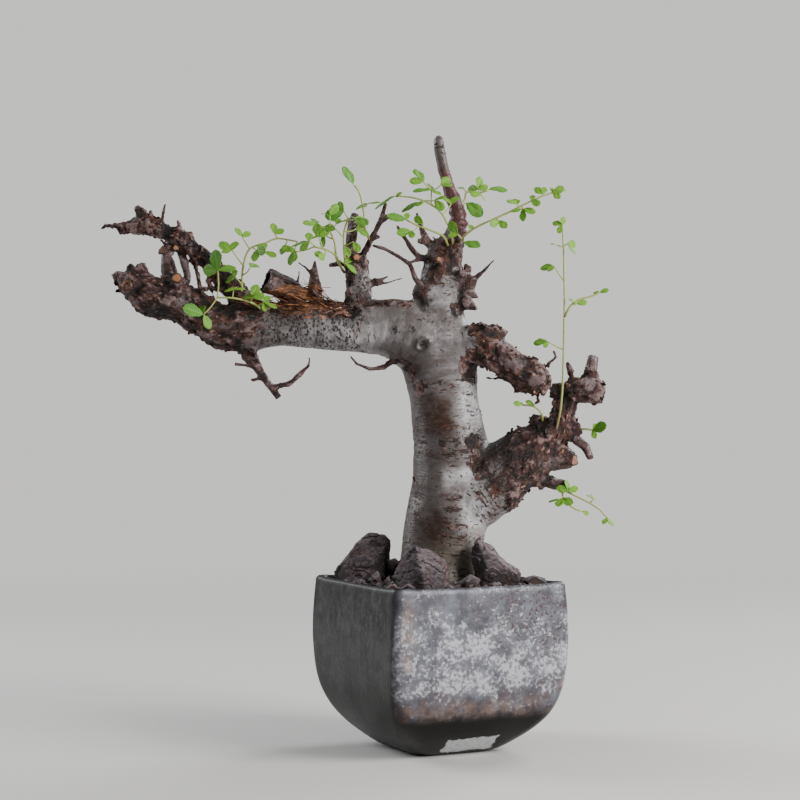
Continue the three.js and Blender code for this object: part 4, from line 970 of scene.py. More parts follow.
# Painted shade: the pores are darker, as the shade inside them
finish(tree, shader, lay(tree, colour, LAVA_DARK, opposite(tree, pits), 0.6), 0.82, 0.35)
emboss(tree, shader, plus(tree, times(tree, pits, 0.5), crumble(tree, place, 500.0, 7.0, 0.7)), 0.8, 0.0005)

for number, name in enumerate(STONES):
    low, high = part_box(name)
    reach = (high - low).length
    mesh, spots, pairs = remeshed(name, LARGE_STONE_GRID if reach > LARGE_STONE else SMALL_STONE_GRID)
    spots = smooth_spots(spots, pairs, np.full((len(spots), 1), 0.35), 1)
    outward = directions(mesh, spots)
    chips = np.floor(2.4 * lump_noise(spots, 9, 40 + number)) * 0.55
    relief = chips + 0.24 * lump_noise(spots, 3.6, 60 + number) + 0.14 * lump_noise(spots, 1.5, 80 + number)
    directions(mesh, spots + outward * ((relief - 0.1) * min(1.0, reach / FULL_RELIEF))[:, None])
    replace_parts(place_mesh(name + "_rock", mesh, lava, smooth=False), name)


# Grit on the soil
# Loose grains of crushed lava between the stones, with a few larger pieces that fill the gaps.
# They were strewn and raked over the soil by hand, so that water runs through.

GRAIN_COUNT = 1350
GRAIN_SIZES = (0.9, 2.6)  # half lengths
RUBBLE_SIZES, RUBBLE_SHARE = (2.8, 4.8), 0.05
FILLING = [[-29, 6, 117, 8.5], [-24, 14, 114, 8], [-34, 14, 113, 7], [28, 20, 114, 7], [14, -34, 109, 4.5]]
HALF_INSIDE = 0.0555  # half of the bowl's width inside
PIT_LEVEL = 101 * MM  # what is lower is the trunk's own pit in the soil, or the gap at the wall
DROP_LEVEL = 0.142  # the grains are dropped from above the stones
GRAIN_RINGS = ((0.45, 0.89, 0.0), (-0.45, 0.89, 0.63))  # height, width and turn of a grain's two rings
GRAIN = [
    (math.cos(turn) * wide, math.sin(turn) * wide, level)
    for level, wide, offset in GRAIN_RINGS for turn in (offset + i * 2 * math.pi / 5 for i in range(5))
] + [(0, 0, 1), (0, 0, -1)]
FIVE = [(i, (i + 1) % 5) for i in range(5)]
GRAIN_FACES = [(10, i, j) for i, j in FIVE] + [(11, 5 + j, 5 + i) for i, j in FIVE]
GRAIN_FACES += [(i, 5 + i, j) for i, j in FIVE] + [(5 + i, 5 + j, j) for i, j in FIVE]


def tree_of(*pieces):
    """A search tree over the surfaces of pieces that sit at the origin."""
    corners, faces = [], []
    for piece in pieces:
        start = len(corners)
        corners.extend(vertex.co.copy() for vertex in piece.data.vertices)
        faces.extend([start + index for index in face.vertices] for face in piece.data.polygons)
    return BVHTree.FromPolygons(corners, faces)


def spin(rng):
    """A random rotation as three axes."""
    axes, _ = np.linalg.qr(rng.normal(size=(3, 3)))
    return axes if np.linalg.det(axes) > 0 else -axes


def add_grain(place, size):
    """Adds one broken grain of the given half length to the gravel."""
    rough = rng.uniform(0.65, 1.1, (12, 1))
    shape = np.array(GRAIN) * rough * [1, rng.uniform(0.6, 0.9), rng.uniform(0.45, 0.8)]
    grain_faces.extend(tuple(len(grain_points) + i for i in face) for face in GRAIN_FACES)
    grain_points.extend(shape @ spin(rng) * size + place)


rng = np.random.default_rng(5)
ground = tree_of(soil)
covers = tree_of(wood, *[bpy.data.objects[name + "_rock"] for name in STONES])
down = Vector((0, 0, -1))
grain_points, grain_faces = [], []
while len(grain_faces) < GRAIN_COUNT * len(GRAIN_FACES):
    start = Vector((*turned(*rng.uniform(-HALF_INSIDE, HALF_INSIDE, 2)), DROP_LEVEL))
    landed = ground.ray_cast(start, down)[0]
    if landed is None or landed.z < PIT_LEVEL:
        continue
    covered = covers.ray_cast(start, down, DROP_LEVEL - landed.z)[0]
    if covered is not None and covered.z > landed.z + 2 * MM:
        continue
    size = rng.uniform(*(RUBBLE_SIZES if rng.random() < RUBBLE_SHARE else GRAIN_SIZES)) * MM
    add_grain(np.array(landed) + [0, 0, rng.uniform(0.0, 0.8) * size], size)
for *centre, size in FILLING:
    add_grain(np.array(centre) * MM, size * MM)
add_piece("gravel", grain_points, grain_faces, lava, smooth=False)


# Sawn ends
# Where branches were cut off, the round faces of the wood show. A fresh cut is orange inside a darker
# ring of bark, and an old one has gone grey and rotted in the middle.

SAWN = [  # [centre, direction, radius, freshness, depth of the rotten middle]
    [(-200, -23.8, 299.2), (-0.3, -1, 0.1), 3.6, 0.55, 1.6],
    [(-167.5, -23.8, 303.6), (-0.2, -1, 0.3), 3.3, 0.9, 0],
    [(-179.7, -3.0, 322.5), (-0.5, -1, 0.1), 2.6, 0.2, 0],
    [(-170.5, -2.6, 324.5), (0.2, -1, 0.4), 2.0, 0.6, 0],
    [(0, -15.2, 316.2), (0, -1, 0.1), 1.8, 0.9, 0],
    [(-53, -15.4, 317.5), (0, -1, 0.1), 2.3, 0.95, 0],
    [(86.5, -14.5, 187), (0.35, -1, 0.05), 3.6, 0.4, 0],
    [(68.0, -21.6, 234.8), (0.65, -0.75, -0.25), 5.4, 0.10, 3.2],
    [(-93.2, 23.2, 293.4), (-0.1, 1, 0.4), 3.0, 0.6, 0],
    [(13.2, 35.8, 222.2), (0.1, 1, 0.2), 4.2, 0.5, 0],
    [(72.4, 27.6, 213), (0.3, 0.5, 0.8), 3.4, 0.5, 0],
]
RING_STEPS, DISC_SIDES = 5, 28
SAWN_PROUD, SAWN_SUNK = 0.25, 1.6  # how far the face stands proud, and how far its edge goes into the wood
SAWN_DARK = (0.36, 0.12, 0.045, 1)
SAWN_LIGHT = (0.56, 0.25, 0.11, 1)
SAWN_OLD = (0.20, 0.12, 0.09, 1)
SAWN_BARK = (0.040, 0.014, 0.009, 1)

sawn_wood, tree, shader = new_material("sawn_wood")
place = own_place(tree)
spread = read(tree, "from_pith")
uneven = plus(tree, spread, times(tree, use_patches(tree, place, 0.002, 0.5, 0.6), 0.12))
year_rings = calculate(tree, "SINE", times(tree, uneven, 26.0))
heart = blend(tree, rise(tree, year_rings, -1.0, 1.0), SAWN_DARK, SAWN_LIGHT)
heart = blend(tree, read(tree, "fresh"), mottle(tree, place, 0.0016, DEAD_BLACK, SAWN_OLD), heart)
middle = opposite(tree, rise(tree, spread, 0.35, 0.60))
heart = lay(tree, heart, DEAD_BLACK, middle, read(tree, "rotten"))
finish(tree, shader, blend(tree, rise(tree, spread, 0.62, 0.90), heart, SAWN_BARK), 0.6)
emboss(tree, shader, year_rings, 0.25, 0.0002)

sawn_points, sawn_faces, sawn_values = [], [], []
for centre, direction, radius, fresh_share, rot_depth in SAWN:
    axis = Vector(direction).normalized()
    side = axis.orthogonal().normalized()
    up = axis.cross(side)
    start = len(sawn_points)
    rot = min(1, rot_depth)
    sawn_points.append(Vector(centre) + axis * (SAWN_PROUD - rot_depth))
    sawn_values.append((0, fresh_share, rot))
    worn_edge = 0.05 + 0.16 * (1 - fresh_share)
    for ring in range(1, RING_STEPS + 2):
        inner = min(ring / RING_STEPS, 1.0)
        lift = SAWN_PROUD - 0.5 * inner**6 - rot_depth * max(0, 1 - (inner / 0.7) ** 3)
        lift = lift if ring <= RING_STEPS else -SAWN_SUNK
        for i in range(DISC_SIDES):
            turn = 2 * math.pi * i / DISC_SIDES
            wave = 1 + worn_edge * (math.sin(3 * turn + radius) + 0.6 * math.sin(5 * turn + 3 * radius))
            outwards = (side * math.cos(turn) + up * math.sin(turn)) * radius * inner * wave
            sawn_points.append(Vector(centre) + outwards + axis * lift)
            sawn_values.append((inner, fresh_share, rot))
    for i in range(DISC_SIDES):
        j = (i + 1) % DISC_SIDES
        sawn_faces.append((start, start + 1 + i, start + 1 + j))
        for low in range(start + 1, start + 1 + RING_STEPS * DISC_SIDES, DISC_SIDES):
            high = low + DISC_SIDES
            sawn_faces.append((low + i, high + i, high + j, low + j))
sawn = add_piece("sawn_ends", [point * MM for point in sawn_points], sawn_faces, sawn_wood)
for name, values in zip(("from_pith", "fresh", "rotten"), zip(*sawn_values)):
    set_values(sawn, name, values)


# Bark plates and torn fibres
# Dry bark curls off the dead wood in thin plates, and off the living trunk in small rusty scraps.
# On top of the arm, a branch was torn away and left strips of orange fibre.

PLATE_COUNT = 2300
PLATE_STEPS, FLAP_STEPS = 3, 7
PLATE_THICKNESS = 0.28
PLATE_ROOT, FLAP_ROOT = 0.35, 0.6  # how deep in the wood the hinge sits
FLAP_OPENING, FLAP_CURL = 12, -0.45
FLAPS = [  # [x, z, length, width, lift in degrees, tone] of the large curled flaps on the front
    [-66, 283, 13, 6, 30, 0.93], [-74, 281, 10, 4.5, 36, 0.96], [-59, 282, 8, 5, 34, 0.93],
    [-86, 280, 13, 3.5, 28, 1.0], [-98, 281, 8, 5, 22, 0.6], [-104, 286, 10, 6, 30, 0.4],
    [-92, 292, 12, 5, 28, 0.97], [-78, 296, 9, 5, 35, 0.5], [-27, 291, 7, 4, 35, 0.97],
    [-37, 289, 6, 4, 30, 0.9], [-20, 290, 5, 3.5, 40, 0.6], [-22, 247, 6, 4, 40, 0.2],
    [-19, 175, 4.5, 4, 60, 0.97], [3, 196, 4, 3, 40, 0.9], [-8, 165, 3, 2.5, 35, 0.97],
    [9, 146, 5, 4, 30, 0.9], [21, 270, 6, 4, 35, 0.9], [-28, 251, 6, 3.5, 45, 0.1],
    [27, 140, 4, 3, 30, 0.97], [24, 168, 7, 4, 30, 0.5],
]
PLATE_BROWN = (0.115, 0.048, 0.032, 1)
PLATE_PALE = (0.33, 0.165, 0.125, 1)
PLATE_ORANGE = (0.48, 0.19, 0.08, 1)
FIBRE_COUNT, FIBRE_STEPS, FIBRE_SIDES = 240, 6, 6
STRAND_BLACK = (0.022, 0.009, 0.006, 1)
STRAND_BROWN = (0.125, 0.046, 0.020, 1)
STRAND_ORANGE = (0.50, 0.19, 0.070, 1)
STRAND_PALE = (0.50, 0.33, 0.24, 1)

plate_bark, tree, shader = new_material("lifted_bark")
place = own_place(tree)
kind = read(tree, "tone")
colour = blend(tree, rise(tree, kind, 0.15, 0.75), DEAD_BLACK, PLATE_BROWN)
colour = blend(tree, rise(tree, kind, 0.80, 0.90), colour, PLATE_PALE)
colour = blend(tree, rise(tree, kind, 0.93, 0.96), colour, PLATE_ORANGE)
finish(tree, shader, blend(tree, use_patches(tree, place, 0.0015, 0.4, 0.4, 4), colour, CORK_DARK), 0.62)
emboss(tree, shader, crumble(tree, place, 1300.0, 4.0), 0.6, 0.0004)

fibre, tree, shader = new_material("torn_fibre")
kind = read(tree, "tone")
colour = blend(tree, rise(tree, kind, 0.25, 0.65), STRAND_BLACK, STRAND_BROWN)
colour = blend(tree, rise(tree, kind, 0.70, 0.90), colour, STRAND_ORANGE)
finish(tree, shader, blend(tree, rise(tree, kind, 0.92, 0.96), colour, STRAND_PALE), 0.55)

wood_spots = spots_in(wood_mesh)
scraps = 0.006 + 0.05 * soft_step(lump_noise(straight * [0.4, 0.4, 1], 8, 51), 0.45, 0.8)
chance = np.clip(dead * (0.25 + 0.75 * raised) + np.where(dead < 0.4, scraps, 0.0), 0, 1)
chance = chance * (wood_spots[:, 2] > 112) * (thick > 0.3) * (limb != "top_stub") * (1 - 0.7 * (torn > 0.4))
rng = np.random.default_rng(11)
picked = rng.choice(len(wood_spots), PLATE_COUNT, replace=False, p=chance / chance.sum())
plate_points, plate_faces, plate_tones = [], [], []


def shows(spots):
    """Whether any of the spots, in millimetres, lies outside the wood and the stones."""
    for spot in spots:
        spot = Vector(spot) * MM
        on_surface, outward = covers.find_nearest(spot)[:2]
        if (spot - on_surface).dot(outward) > 0:
            return True
    return False


def sheet_faces(start, rows, columns):
    """The faces of a thin closed sheet: rows by columns of points on top, then as many underneath."""
    under = rows * columns
    faces = []
    for i in range(rows - 1):
        for a in range(start + i * columns, start + (i + 1) * columns - 1):
            faces.append((a, a + columns, a + columns + 1, a + 1))
            faces.append((a + under, a + under + 1, a + under + columns + 1, a + under + columns))
    rim = list(range(columns)) + [i * columns - 1 for i in range(2, rows + 1)]
    rim += [(rows - 1) * columns + j for j in range(columns - 2, -1, -1)]
    rim += [i * columns for i in range(rows - 2, 0, -1)]
    for a, b in zip(rim, rim[1:] + rim[:1]):
        faces.append((start + b, start + b + under, start + a + under, start + a))
    return faces


def level_with(way, normal):
    """A direction turned into the surface that a normal stands on."""
    return (way - normal * way.dot(normal)).normalized()


def add_plate(root, normal, hinge, width_way, length, width, lift, curl, kind, steps=PLATE_STEPS):
    """Adds a thin plate of bark that is fixed along its hinge and lifts away, unless the wood hides it."""
    points, tones = [], []
    for side, i, j in itertools.product((0, 1), range(steps + 1), range(steps + 1)):
        s, t = i / steps, j / steps - 0.5
        taper = 1 - 0.45 * s * rng.uniform(0.5, 1.3)
        out = width_way * (math.cos(lift) * s * width) + normal * (math.sin(lift) * s * width)
        bend = normal * (curl * s * s * width - 0.35 * t * t * length)
        jag = hinge * ((t * taper + 0.13 * s * rng.uniform(-1, 1)) * length)
        jag += width_way * (rng.uniform(-0.16, 0.16) * width * s)
        points.append(root + out + bend + jag - normal * (PLATE_THICKNESS * side))
        # Painted shade: each plate is darker at its hinge, where it meets the wood, and paler at its tip
        tones.append(kind * (0.78 + 0.22 * s))
    if shows(points):
        plate_faces.extend(sheet_faces(len(plate_points), steps + 1, steps + 1))
        plate_points.extend(points)
        plate_tones.extend(tones)


for k in picked:
    normal, axis = Vector(facing[k]), Vector(rows[k, 1:4])
    hinge = axis if dead[k] > 0.4 else normal.cross(axis).normalized()
    hinge = level_with((hinge + 0.55 * Vector(rng.normal(size=3))).normalized(), normal)
    width_way = hinge.cross(normal) * (1 if rng.random() < 0.5 else -1)
    small = 0.55 if dead[k] < 0.4 else 1.0
    length, width = rng.uniform(1.6, 5.2) * small, rng.uniform(1.0, 3.2) * small
    lift = math.radians(rng.uniform(4, 24) + 26 * (rng.random() < 0.12))
    kind = rng.random() if dead[k] > 0.4 else rng.uniform(0.3, 1.0)
    root = Vector(wood_spots[k]) - normal * PLATE_ROOT
    add_plate(root, normal, hinge, width_way, length, width, lift, rng.uniform(-0.30, 0.22), kind)

front = np.flatnonzero(facing[:, 1] < -0.25)
for x, z, length, width, lift, kind in FLAPS:
    k = front[np.linalg.norm(wood_spots[front][:, [0, 2]] - [x, z], axis=1).argmin()]
    normal = Vector(facing[k])
    hinge = level_with(Vector(rng.normal(size=3) * 0.4) + Vector((1, 0, 0)), normal)
    root = Vector(wood_spots[k]) - normal * FLAP_ROOT
    lift = math.radians(lift + FLAP_OPENING)
    add_plate(root, normal, hinge, hinge.cross(normal), length, width, lift, FLAP_CURL, kind, FLAP_STEPS)
plate_points = [point * MM for point in plate_points]
bark_plates = add_piece("bark_plates", plate_points, plate_faces, plate_bark, smooth=False)
set_values(bark_plates, "tone", plate_tones)


def tube(route, radii, sides, flat=1.0):
    """A closed tube round a route, flatter where flat is under 1: points, faces, shares of the length."""
    middles = np.array(route, dtype=float)
    tangents = np.gradient(middles, axis=0)
    tangents /= np.maximum(np.linalg.norm(tangents, axis=1), 1e-9)[:, None]
    side = np.cross(tangents[0], [0.31, 0.2, 0.93] if flat == 1.0 else [0, 0.25, 1])
    points, shares = [], []
    for i, (spot, tangent) in enumerate(zip(middles, tangents)):
        side = side - tangent * side.dot(tangent)
        side = side / np.linalg.norm(side)
        up = np.cross(side, tangent)
        for k in range(sides):
            turn = 2 * math.pi * k / sides
            points.append(spot + radii[i] * (side * math.cos(turn) + flat * up * math.sin(turn)))
            shares.append(i / (len(middles) - 1))
    faces = [tuple(range(sides)), tuple(len(points) - 1 - k for k in range(sides))]
    for i in range(len(middles) - 1):
        for k in range(sides):
            n = (k + 1) % sides
            faces.append((i * sides + k, (i + 1) * sides + k, (i + 1) * sides + n, i * sides + n))
    return points, faces, shares


rng = np.random.default_rng(23)
on_top = np.flatnonzero((torn > 0.35) & (facing[:, 2] > -0.1) & (facing[:, 1] < 0.6))
fibre_points, fibre_faces, fibre_tones = [], [], []
for k in rng.choice(on_top, FIBRE_COUNT):
    spot, normal = wood_spots[k], facing[k]
    run = np.array([-1, 0, 0.12]) + 0.28 * rng.normal(size=3)
    run = run / np.linalg.norm(run)
    length = rng.uniform(6, 20)
    lift = rng.uniform(0.2, 2.8)
    strip = rng.uniform(0.3, 1.5) if rng.random() < 0.6 else 0.3
    route, radii = [], []
    for i in range(FIBRE_STEPS + 1):
        s = i / FIBRE_STEPS
        sway = 0.5 * math.sin(5 * s + k) * np.array([0, 0.6, 1.0])
        route.append(spot + run * length * (s - 0.35) + normal * (lift * s * s - 0.25) + sway * s)
        radii.append(strip * rng.uniform(0.8, 1.1) * (1.05 - 0.7 * s))
    points, faces, _ = tube(route, radii, FIBRE_SIDES, 0.3 if strip > 0.4 else 0.8)
    kind = rng.random()
    if shows(points):
        fibre_faces.extend(tuple(len(fibre_points) + index for index in face) for face in faces)
        fibre_points.extend(points)
        fibre_tones.extend([kind] * len(points))
fibres = add_piece("torn_fibres", np.array(fibre_points) * MM, fibre_faces, fibre)
set_values(fibres, "tone", fibre_tones)


# Shoots
# Young green shoots from the old wood, with leaves of one to three leaflets. Each leaflet is obovate with
# rounded teeth, folded a little along its midrib. Stems and leaf stalks are one growth with their leaves.

SHOOTS = {
    "shoot_arm_front": {
        "stems": [
            [[-112, -10, 280], [-118, -19, 287], [-130, -25, 290.5], [-142, -25.5, 291]],
        ],
        "leaves": [
            [[-141.5, -25.5, 291], [-141, -27, 308], [[95, 14], [168, 12], [20, 12]]],
            [[-141.5, -25.5, 291], [-150, -29, 280], [[186, 14.5], [112, 10.5], [-48, 9.5]]],
            [[-132, -25, 290.5], [-131, -28, 296], [[100, 8.5], [175, 6], [15, 7]]],
            [[-121, -21, 288.5], [-119, -27, 291], [[72, 10], [5, 8], [150, 7]]],
            [[-117, -18, 286.5], [-112, -24, 288], [[-12, 9], [60, 7], [-80, 6]]],
        ],
    },
    "shoot_arm_upper": {
        "stems": [
            [[-127, -4, 280], [-127, -10, 297], [-126, -12, 312], [-122, -11, 323], [-112, -9, 327],
             [-104, -8, 330], [-91, -8, 328]],
        ],
        "leaves": [
            [[-126.5, -12, 306], [-121, -18, 311], [[62, 11]]],
            [[-126, -12, 312], [-133, -15, 322], [[150, 10], [75, 9], [215, 8]]],
            [[-122, -11, 323], [-127, -8, 331], [[120, 8], [40, 7]]],
            [[-120, -11, 324], [-117, -16, 322], [[-30, 10], [-98, 9], [50, 9]]],
            [[-112, -9, 327], [-112, -13, 321], [[-20, 8]]],
            [[-91.5, -8, 328], [-93, -9, 323], [[190, 9], [258, 8]]],
            [[-126.8, -11, 300], [-131, -13, 305], [[170, 9], [100, 7]]],
            [[-104, -8, 330], [-106, -9, 333], [[100, 8], [30, 7]]],
            [[-98, -8, 329.5], [-99, -10, 326], [[250, 8]]],
        ],
    },
    "shoot_middle": {
        "stems": [
            [[-61, -6, 308], [-66, -12, 317], [-67, -14, 327], [-71, -14, 336]],
            [[-62, -8, 309], [-66, -14, 318], [-72, -17, 322], [-80, -18, 324]],
            [[-60, -8, 310], [-61, -13, 322], [-61, -14, 334], [-58, -14, 343]],
        ],
        "leaves": [
            [[-70.5, -14, 335], [-79, -15, 339], [[95, 9], [205, 10]]],
            [[-70.5, -14, 335], [-70, -19, 344], [[60, 9], [130, 7]]],
            [[-79, -18, 324], [-83, -22, 327], [[165, 12], [235, 9], [95, 8]]],
            [[-73, -17, 322], [-73, -22, 318], [[235, 8], [170, 7]]],
            [[-80, -18, 324], [-93, -15, 321], [[232, 9], [164, 8]]],
            [[-58.5, -14, 342], [-61, -13, 347], [[188, 13], [120, 8]]],
            [[-58.5, -14, 342], [-54, -19, 342], [[-44, 12], [88, 9], [22, 8]]],
            [[-61, -13.5, 325], [-55, -19, 327], [[-55, 8]]],
            [[-61, -13.5, 324], [-58, -19, 317], [[100, 8]]],
            [[-66, -12, 317], [-60, -17, 313], [[-20, 9], [60, 8]]],
            [[-67, -14, 329], [-74, -13, 332], [[170, 10], [250, 8], [95, 8]]],
            [[-71, -14, 335.5], [-66, -12, 339], [[20, 10], [80, 8]]],
            [[-61, -14, 334], [-53, -12, 336], [[-20, 9], [40, 8]]],
            [[-61, -13, 330], [-66, -18, 335], [[150, 9]]],
            [[-75, -17.5, 323], [-77, -19, 330], [[100, 10], [40, 8]]],
        ],
    },
    "shoot_middle_tall": {
        "stems": [
            [[-44, -5, 327], [-47.5, -11, 337], [-48.5, -12, 348], [-51, -12, 359], [-54, -12, 363.5]],
        ],
        "leaves": [
            [[-53.5, -12, 363], [-55, -12, 364.5], [[125, 14]]],
            [[-49, -12, 350], [-46, -13, 352], [[-8, 9], [170, 9]]],
        ],
    },
    "shoot_neck_left": {
        "stems": [
            [[9, -1, 323], [8.5, -9, 331], [5.5, -12, 339.5], [0, -12, 348], [-9, -13, 353.5],
             [-17, -13, 356], [-27, -13, 357]],
            [[7, -3, 323], [3, -12, 331], [-6, -15, 335], [-14, -15, 338], [-20, -15, 341]],
        ],
        "leaves": [
            [[-26.5, -13, 357], [-28, -13, 357], [[184, 16], [10, 5]]],
            [[-10, -13, 354], [-12, -15, 353], [[194, 13], [262, 9]]],
            [[-5, -12.6, 351], [-5, -13, 361], [[92, 9], [188, 12], [-45, 9]]],
            [[-5, -13, 360.5], [-10, -14, 366], [[112, 12], [180, 9]]],
            [[-9, -13, 354], [-3, -14.5, 354], [[18, 8], [-50, 9]]],
            [[-19.5, -15, 341], [-21, -15, 341.5], [[178, 13], [80, 6]]],
            [[-11, -15, 337], [-10, -17, 339], [[140, 8]]],
            [[-13, -15, 337.5], [-18, -18, 334], [[200, 9], [270, 7]]],
            [[2, -12, 345], [8, -10, 352], [[60, 9], [130, 8]]],
            [[-5, -13, 361], [1, -13, 364], [[40, 9], [-20, 8]]],
        ],
    },
    "shoot_neck_right": {
        "stems": [
            [[12, -1, 325], [16, -8, 331], [24, -11, 337], [36, -13, 342.5], [46, -14, 347],
             [56, -15, 352], [66, -16, 356.5], [75, -16, 359.5], [82, -16, 360.5]],
        ],
        "leaves": [
            [[15, -7, 330], [12, -19, 332], [[118, 10], [190, 6]]],
            [[16, -8, 331], [16, -12, 327.5], [[-38, 13]]], [[18, -9, 333], [20, -11, 336], [[72, 6]]],
            [[37, -13, 343], [38.5, -14, 341], [[-60, 8], [225, 8]]],
            [[50, -14.4, 349], [51, -15, 351.5], [[98, 9], [166, 8]]],
            [[53, -14.7, 350.5], [54, -15.5, 348.5], [[-96, 8], [196, 8], [-28, 9]]],
            [[58, -15.2, 353], [59.5, -16, 354], [[80, 6], [-50, 8]]],
            [[66, -16, 356.5], [67, -16, 358], [[150, 7], [80, 6]]],
            [[72, -16, 358.6], [73, -16.5, 359], [[18, 8], [-50, 7], [88, 5]]],
        ],
    },
    "shoot_neck_back": {
        "stems": [
            [[12, 3, 348], [17, 9, 356], [19, 11, 362], [27, 10, 361.5], [33, 9, 363]],
        ],
        "leaves": [
            [[32.5, 9, 363], [33, 9, 363.5], [[12, 13]]],
            [[26.5, 10, 361.5], [26, 9, 363.5], [[80, 9], [148, 9], [14, 7]]],
            [[27, 10, 361.5], [28, 9, 360], [[-60, 6], [195, 7]]],
            [[18.8, 11, 361], [17, 11, 364], [[125, 6]]], [[15, 6, 352.5], [18, 6, 354.5], [[-42, 14]]],
        ],
    },
    "shoot_right_tall": {
        "stems": [
            [[75, -6, 201], [75.5, -14, 207], [78, -17.5, 220], [79.5, -18, 240], [80, -18, 262],
             [80.5, -18, 290], [80, -18, 318], [79.2, -18, 338]],
            [[80.4, -18, 279], [84.5, -18.5, 286], [90, -19, 290], [97, -19, 292], [103, -19, 294.5]],
        ],
        "leaves": [
            [[79.2, -18, 337.5], [79, -18, 338], [[75, 6], [148, 7], [235, 6]]],
            [[79.8, -18, 325], [82, -18.5, 326], [[26, 8], [-42, 9]]],
            [[79.8, -18, 324], [76, -18, 325], [[182, 5]]],
            [[80.2, -18, 302], [73.5, -19, 311.5], [[168, 9], [236, 7]]],
            [[85.5, -18.6, 287], [88, -19, 287.5], [[10, 7], [165, 6]]],
            [[102.5, -19, 294.3], [103, -19, 294.6], [[12, 6], [150, 5]]],
            [[80, -18, 258], [70, -19, 263], [[168, 10], [235, 5]]],
        ],
    },
    "shoot_right_mid": {
        "stems": [
            [[67, -8, 211], [66, -15, 217], [61, -16, 221.5], [54, -16, 222.5]],
        ],
        "leaves": [
            [[54.5, -16, 222.5], [53.5, -16, 222.6], [[178, 6], [110, 4]]],
            [[62, -16, 221], [61, -17, 222.5], [[150, 6]]],
        ],
    },
    "shoot_right_low": {
        "stems": [
            [[88, -7, 206], [94, -12, 207], [99, -13, 206.3]],
        ],
        "leaves": [
            [[98.5, -13, 206.4], [99, -13, 206.3], [[-12, 12], [55, 8], [-80, 6]]],
        ],
    },
    "shoot_right_hanging": {
        "stems": [
            [[77, -6, 172], [79, -13, 168.5], [87, -15, 164.5], [96, -16, 160], [103, -17, 155.5],
             [108, -17, 150]],
            [[79, -12, 169], [81, -16, 161], [88, -17, 155.5], [92, -17, 154.5]],
        ],
        "leaves": [
            [[80, -13.2, 168], [83, -16, 167], [[88, 9], [20, 7], [156, 8]]],
            [[80.2, -14.6, 164.5], [78, -17, 162], [[262, 9], [195, 8], [-32, 9]]],
            [[97, -16.1, 159.5], [99, -17, 162], [[72, 8], [140, 5]]],
            [[107, -16.9, 151.5], [108, -17, 149.8], [[-60, 7], [-128, 6]]],
            [[91, -17, 154.8], [92.2, -17, 154.4], [[-12, 5]]],
        ],
    },
}
BLADE_WIDTH = 0.72  # of the leaflet's length
BLADE_DROOP, BLADE_CUP, BLADE_FOLD, BLADE_RIPPLE = 0.12, 0.06, 0.10, 0.012
BLADE_THICKNESS = 0.34
STEM_RADIUS, STEM_TAPER, STALK_RADIUS = 0.82, 0.30, 0.48
STEM_SIDES, STALK_SIDES = 7, 6
BLADE_ROWS, BLADE_COLUMNS = 27, 8
TEETH = 6
ROLL, PITCH = 38, 27  # how far leaflets turn about their midribs and nod, in degrees
SHARP_FROM = 60  # degrees
FIRST_SEED = 300
LEAF_YOUNG = (0.175, 0.36, 0.030, 1)
LEAF_GROWN = (0.048, 0.185, 0.028, 1)
LEAF_VEIN = (0.30, 0.46, 0.13, 1)
STEM_GREEN = (0.35, 0.40, 0.11, 1)
STEM_WOODY = (0.19, 0.12, 0.06, 1)

leaf, tree, shader = new_material("young_leaf")
where = add_node(tree, "SeparateXYZ", {0: read(tree, "on_leaf", "Vector")}).outputs
colour = blend(tree, where["Z"], LEAF_YOUNG, LEAF_GROWN)
colour = lay(tree, colour, LEAF_YOUNG, use_patches(tree, own_place(tree), 0.004, 0.5, 0.6), 0.35)
from_midrib = calculate(tree, "ABSOLUTE", where["Y"])
midrib = opposite(tree, rise(tree, from_midrib, 0.03, 0.13))
fan = times(tree, calculate(tree, "SUBTRACT", where["X"], times(tree, from_midrib, 0.26)), 8.0)
fan = calculate(tree, "ABSOLUTE", calculate(tree, "SUBTRACT", calculate(tree, "FRACT", fan), 0.5))
ribs = times(tree, opposite(tree, rise(tree, fan, 0.04, 0.16)), 0.45)
veins = larger(tree, midrib, times(tree, ribs, opposite(tree, rise(tree, from_midrib, 0.6, 1.0))))
finish(tree, shader, lay(tree, colour, LEAF_VEIN, veins, 0.42), 0.55, 0.22)
emboss(tree, shader, opposite(tree, veins), 0.25, 0.0002)
shader.inputs["Subsurface Weight"].default_value = 0.25
shader.inputs["Subsurface Radius"].default_value = (0.6, 1.0, 0.2)
shader.inputs["Subsurface Scale"].default_value = 0.0012

stem, tree, shader = new_material("green_stem")
woody = opposite(tree, rise(tree, read(tree, "up_stem"), 0.0, 0.28))
finish(tree, shader, blend(tree, woody, STEM_GREEN, STEM_WOODY), 0.5)


def draw(seed):
    """A number from 0 to 1 that depends only on its seed, as the solids draw it."""
    wave = math.sin(seed * 127.1 + 11.7) * 43758.5453
    return wave - math.floor(wave)


def blade_width(u):
    """The half width of a leaflet at a share of its length: obovate, with a point and forward teeth."""
    full = u**1.1 * max(1 - u, 0.0) ** 0.72 / 0.295
    along_tooth = (u * TEETH * 1.35) % 1.0
    return min(full, 1.0) * (1 - 0.24 * along_tooth * (0.22 < u < 0.97))


def tipped(way, face, angle):
    """A direction and a face, both turned by an angle in the plane that they span."""
    return way * math.cos(angle) + face * math.sin(angle), face * math.cos(angle) - way * math.sin(angle)


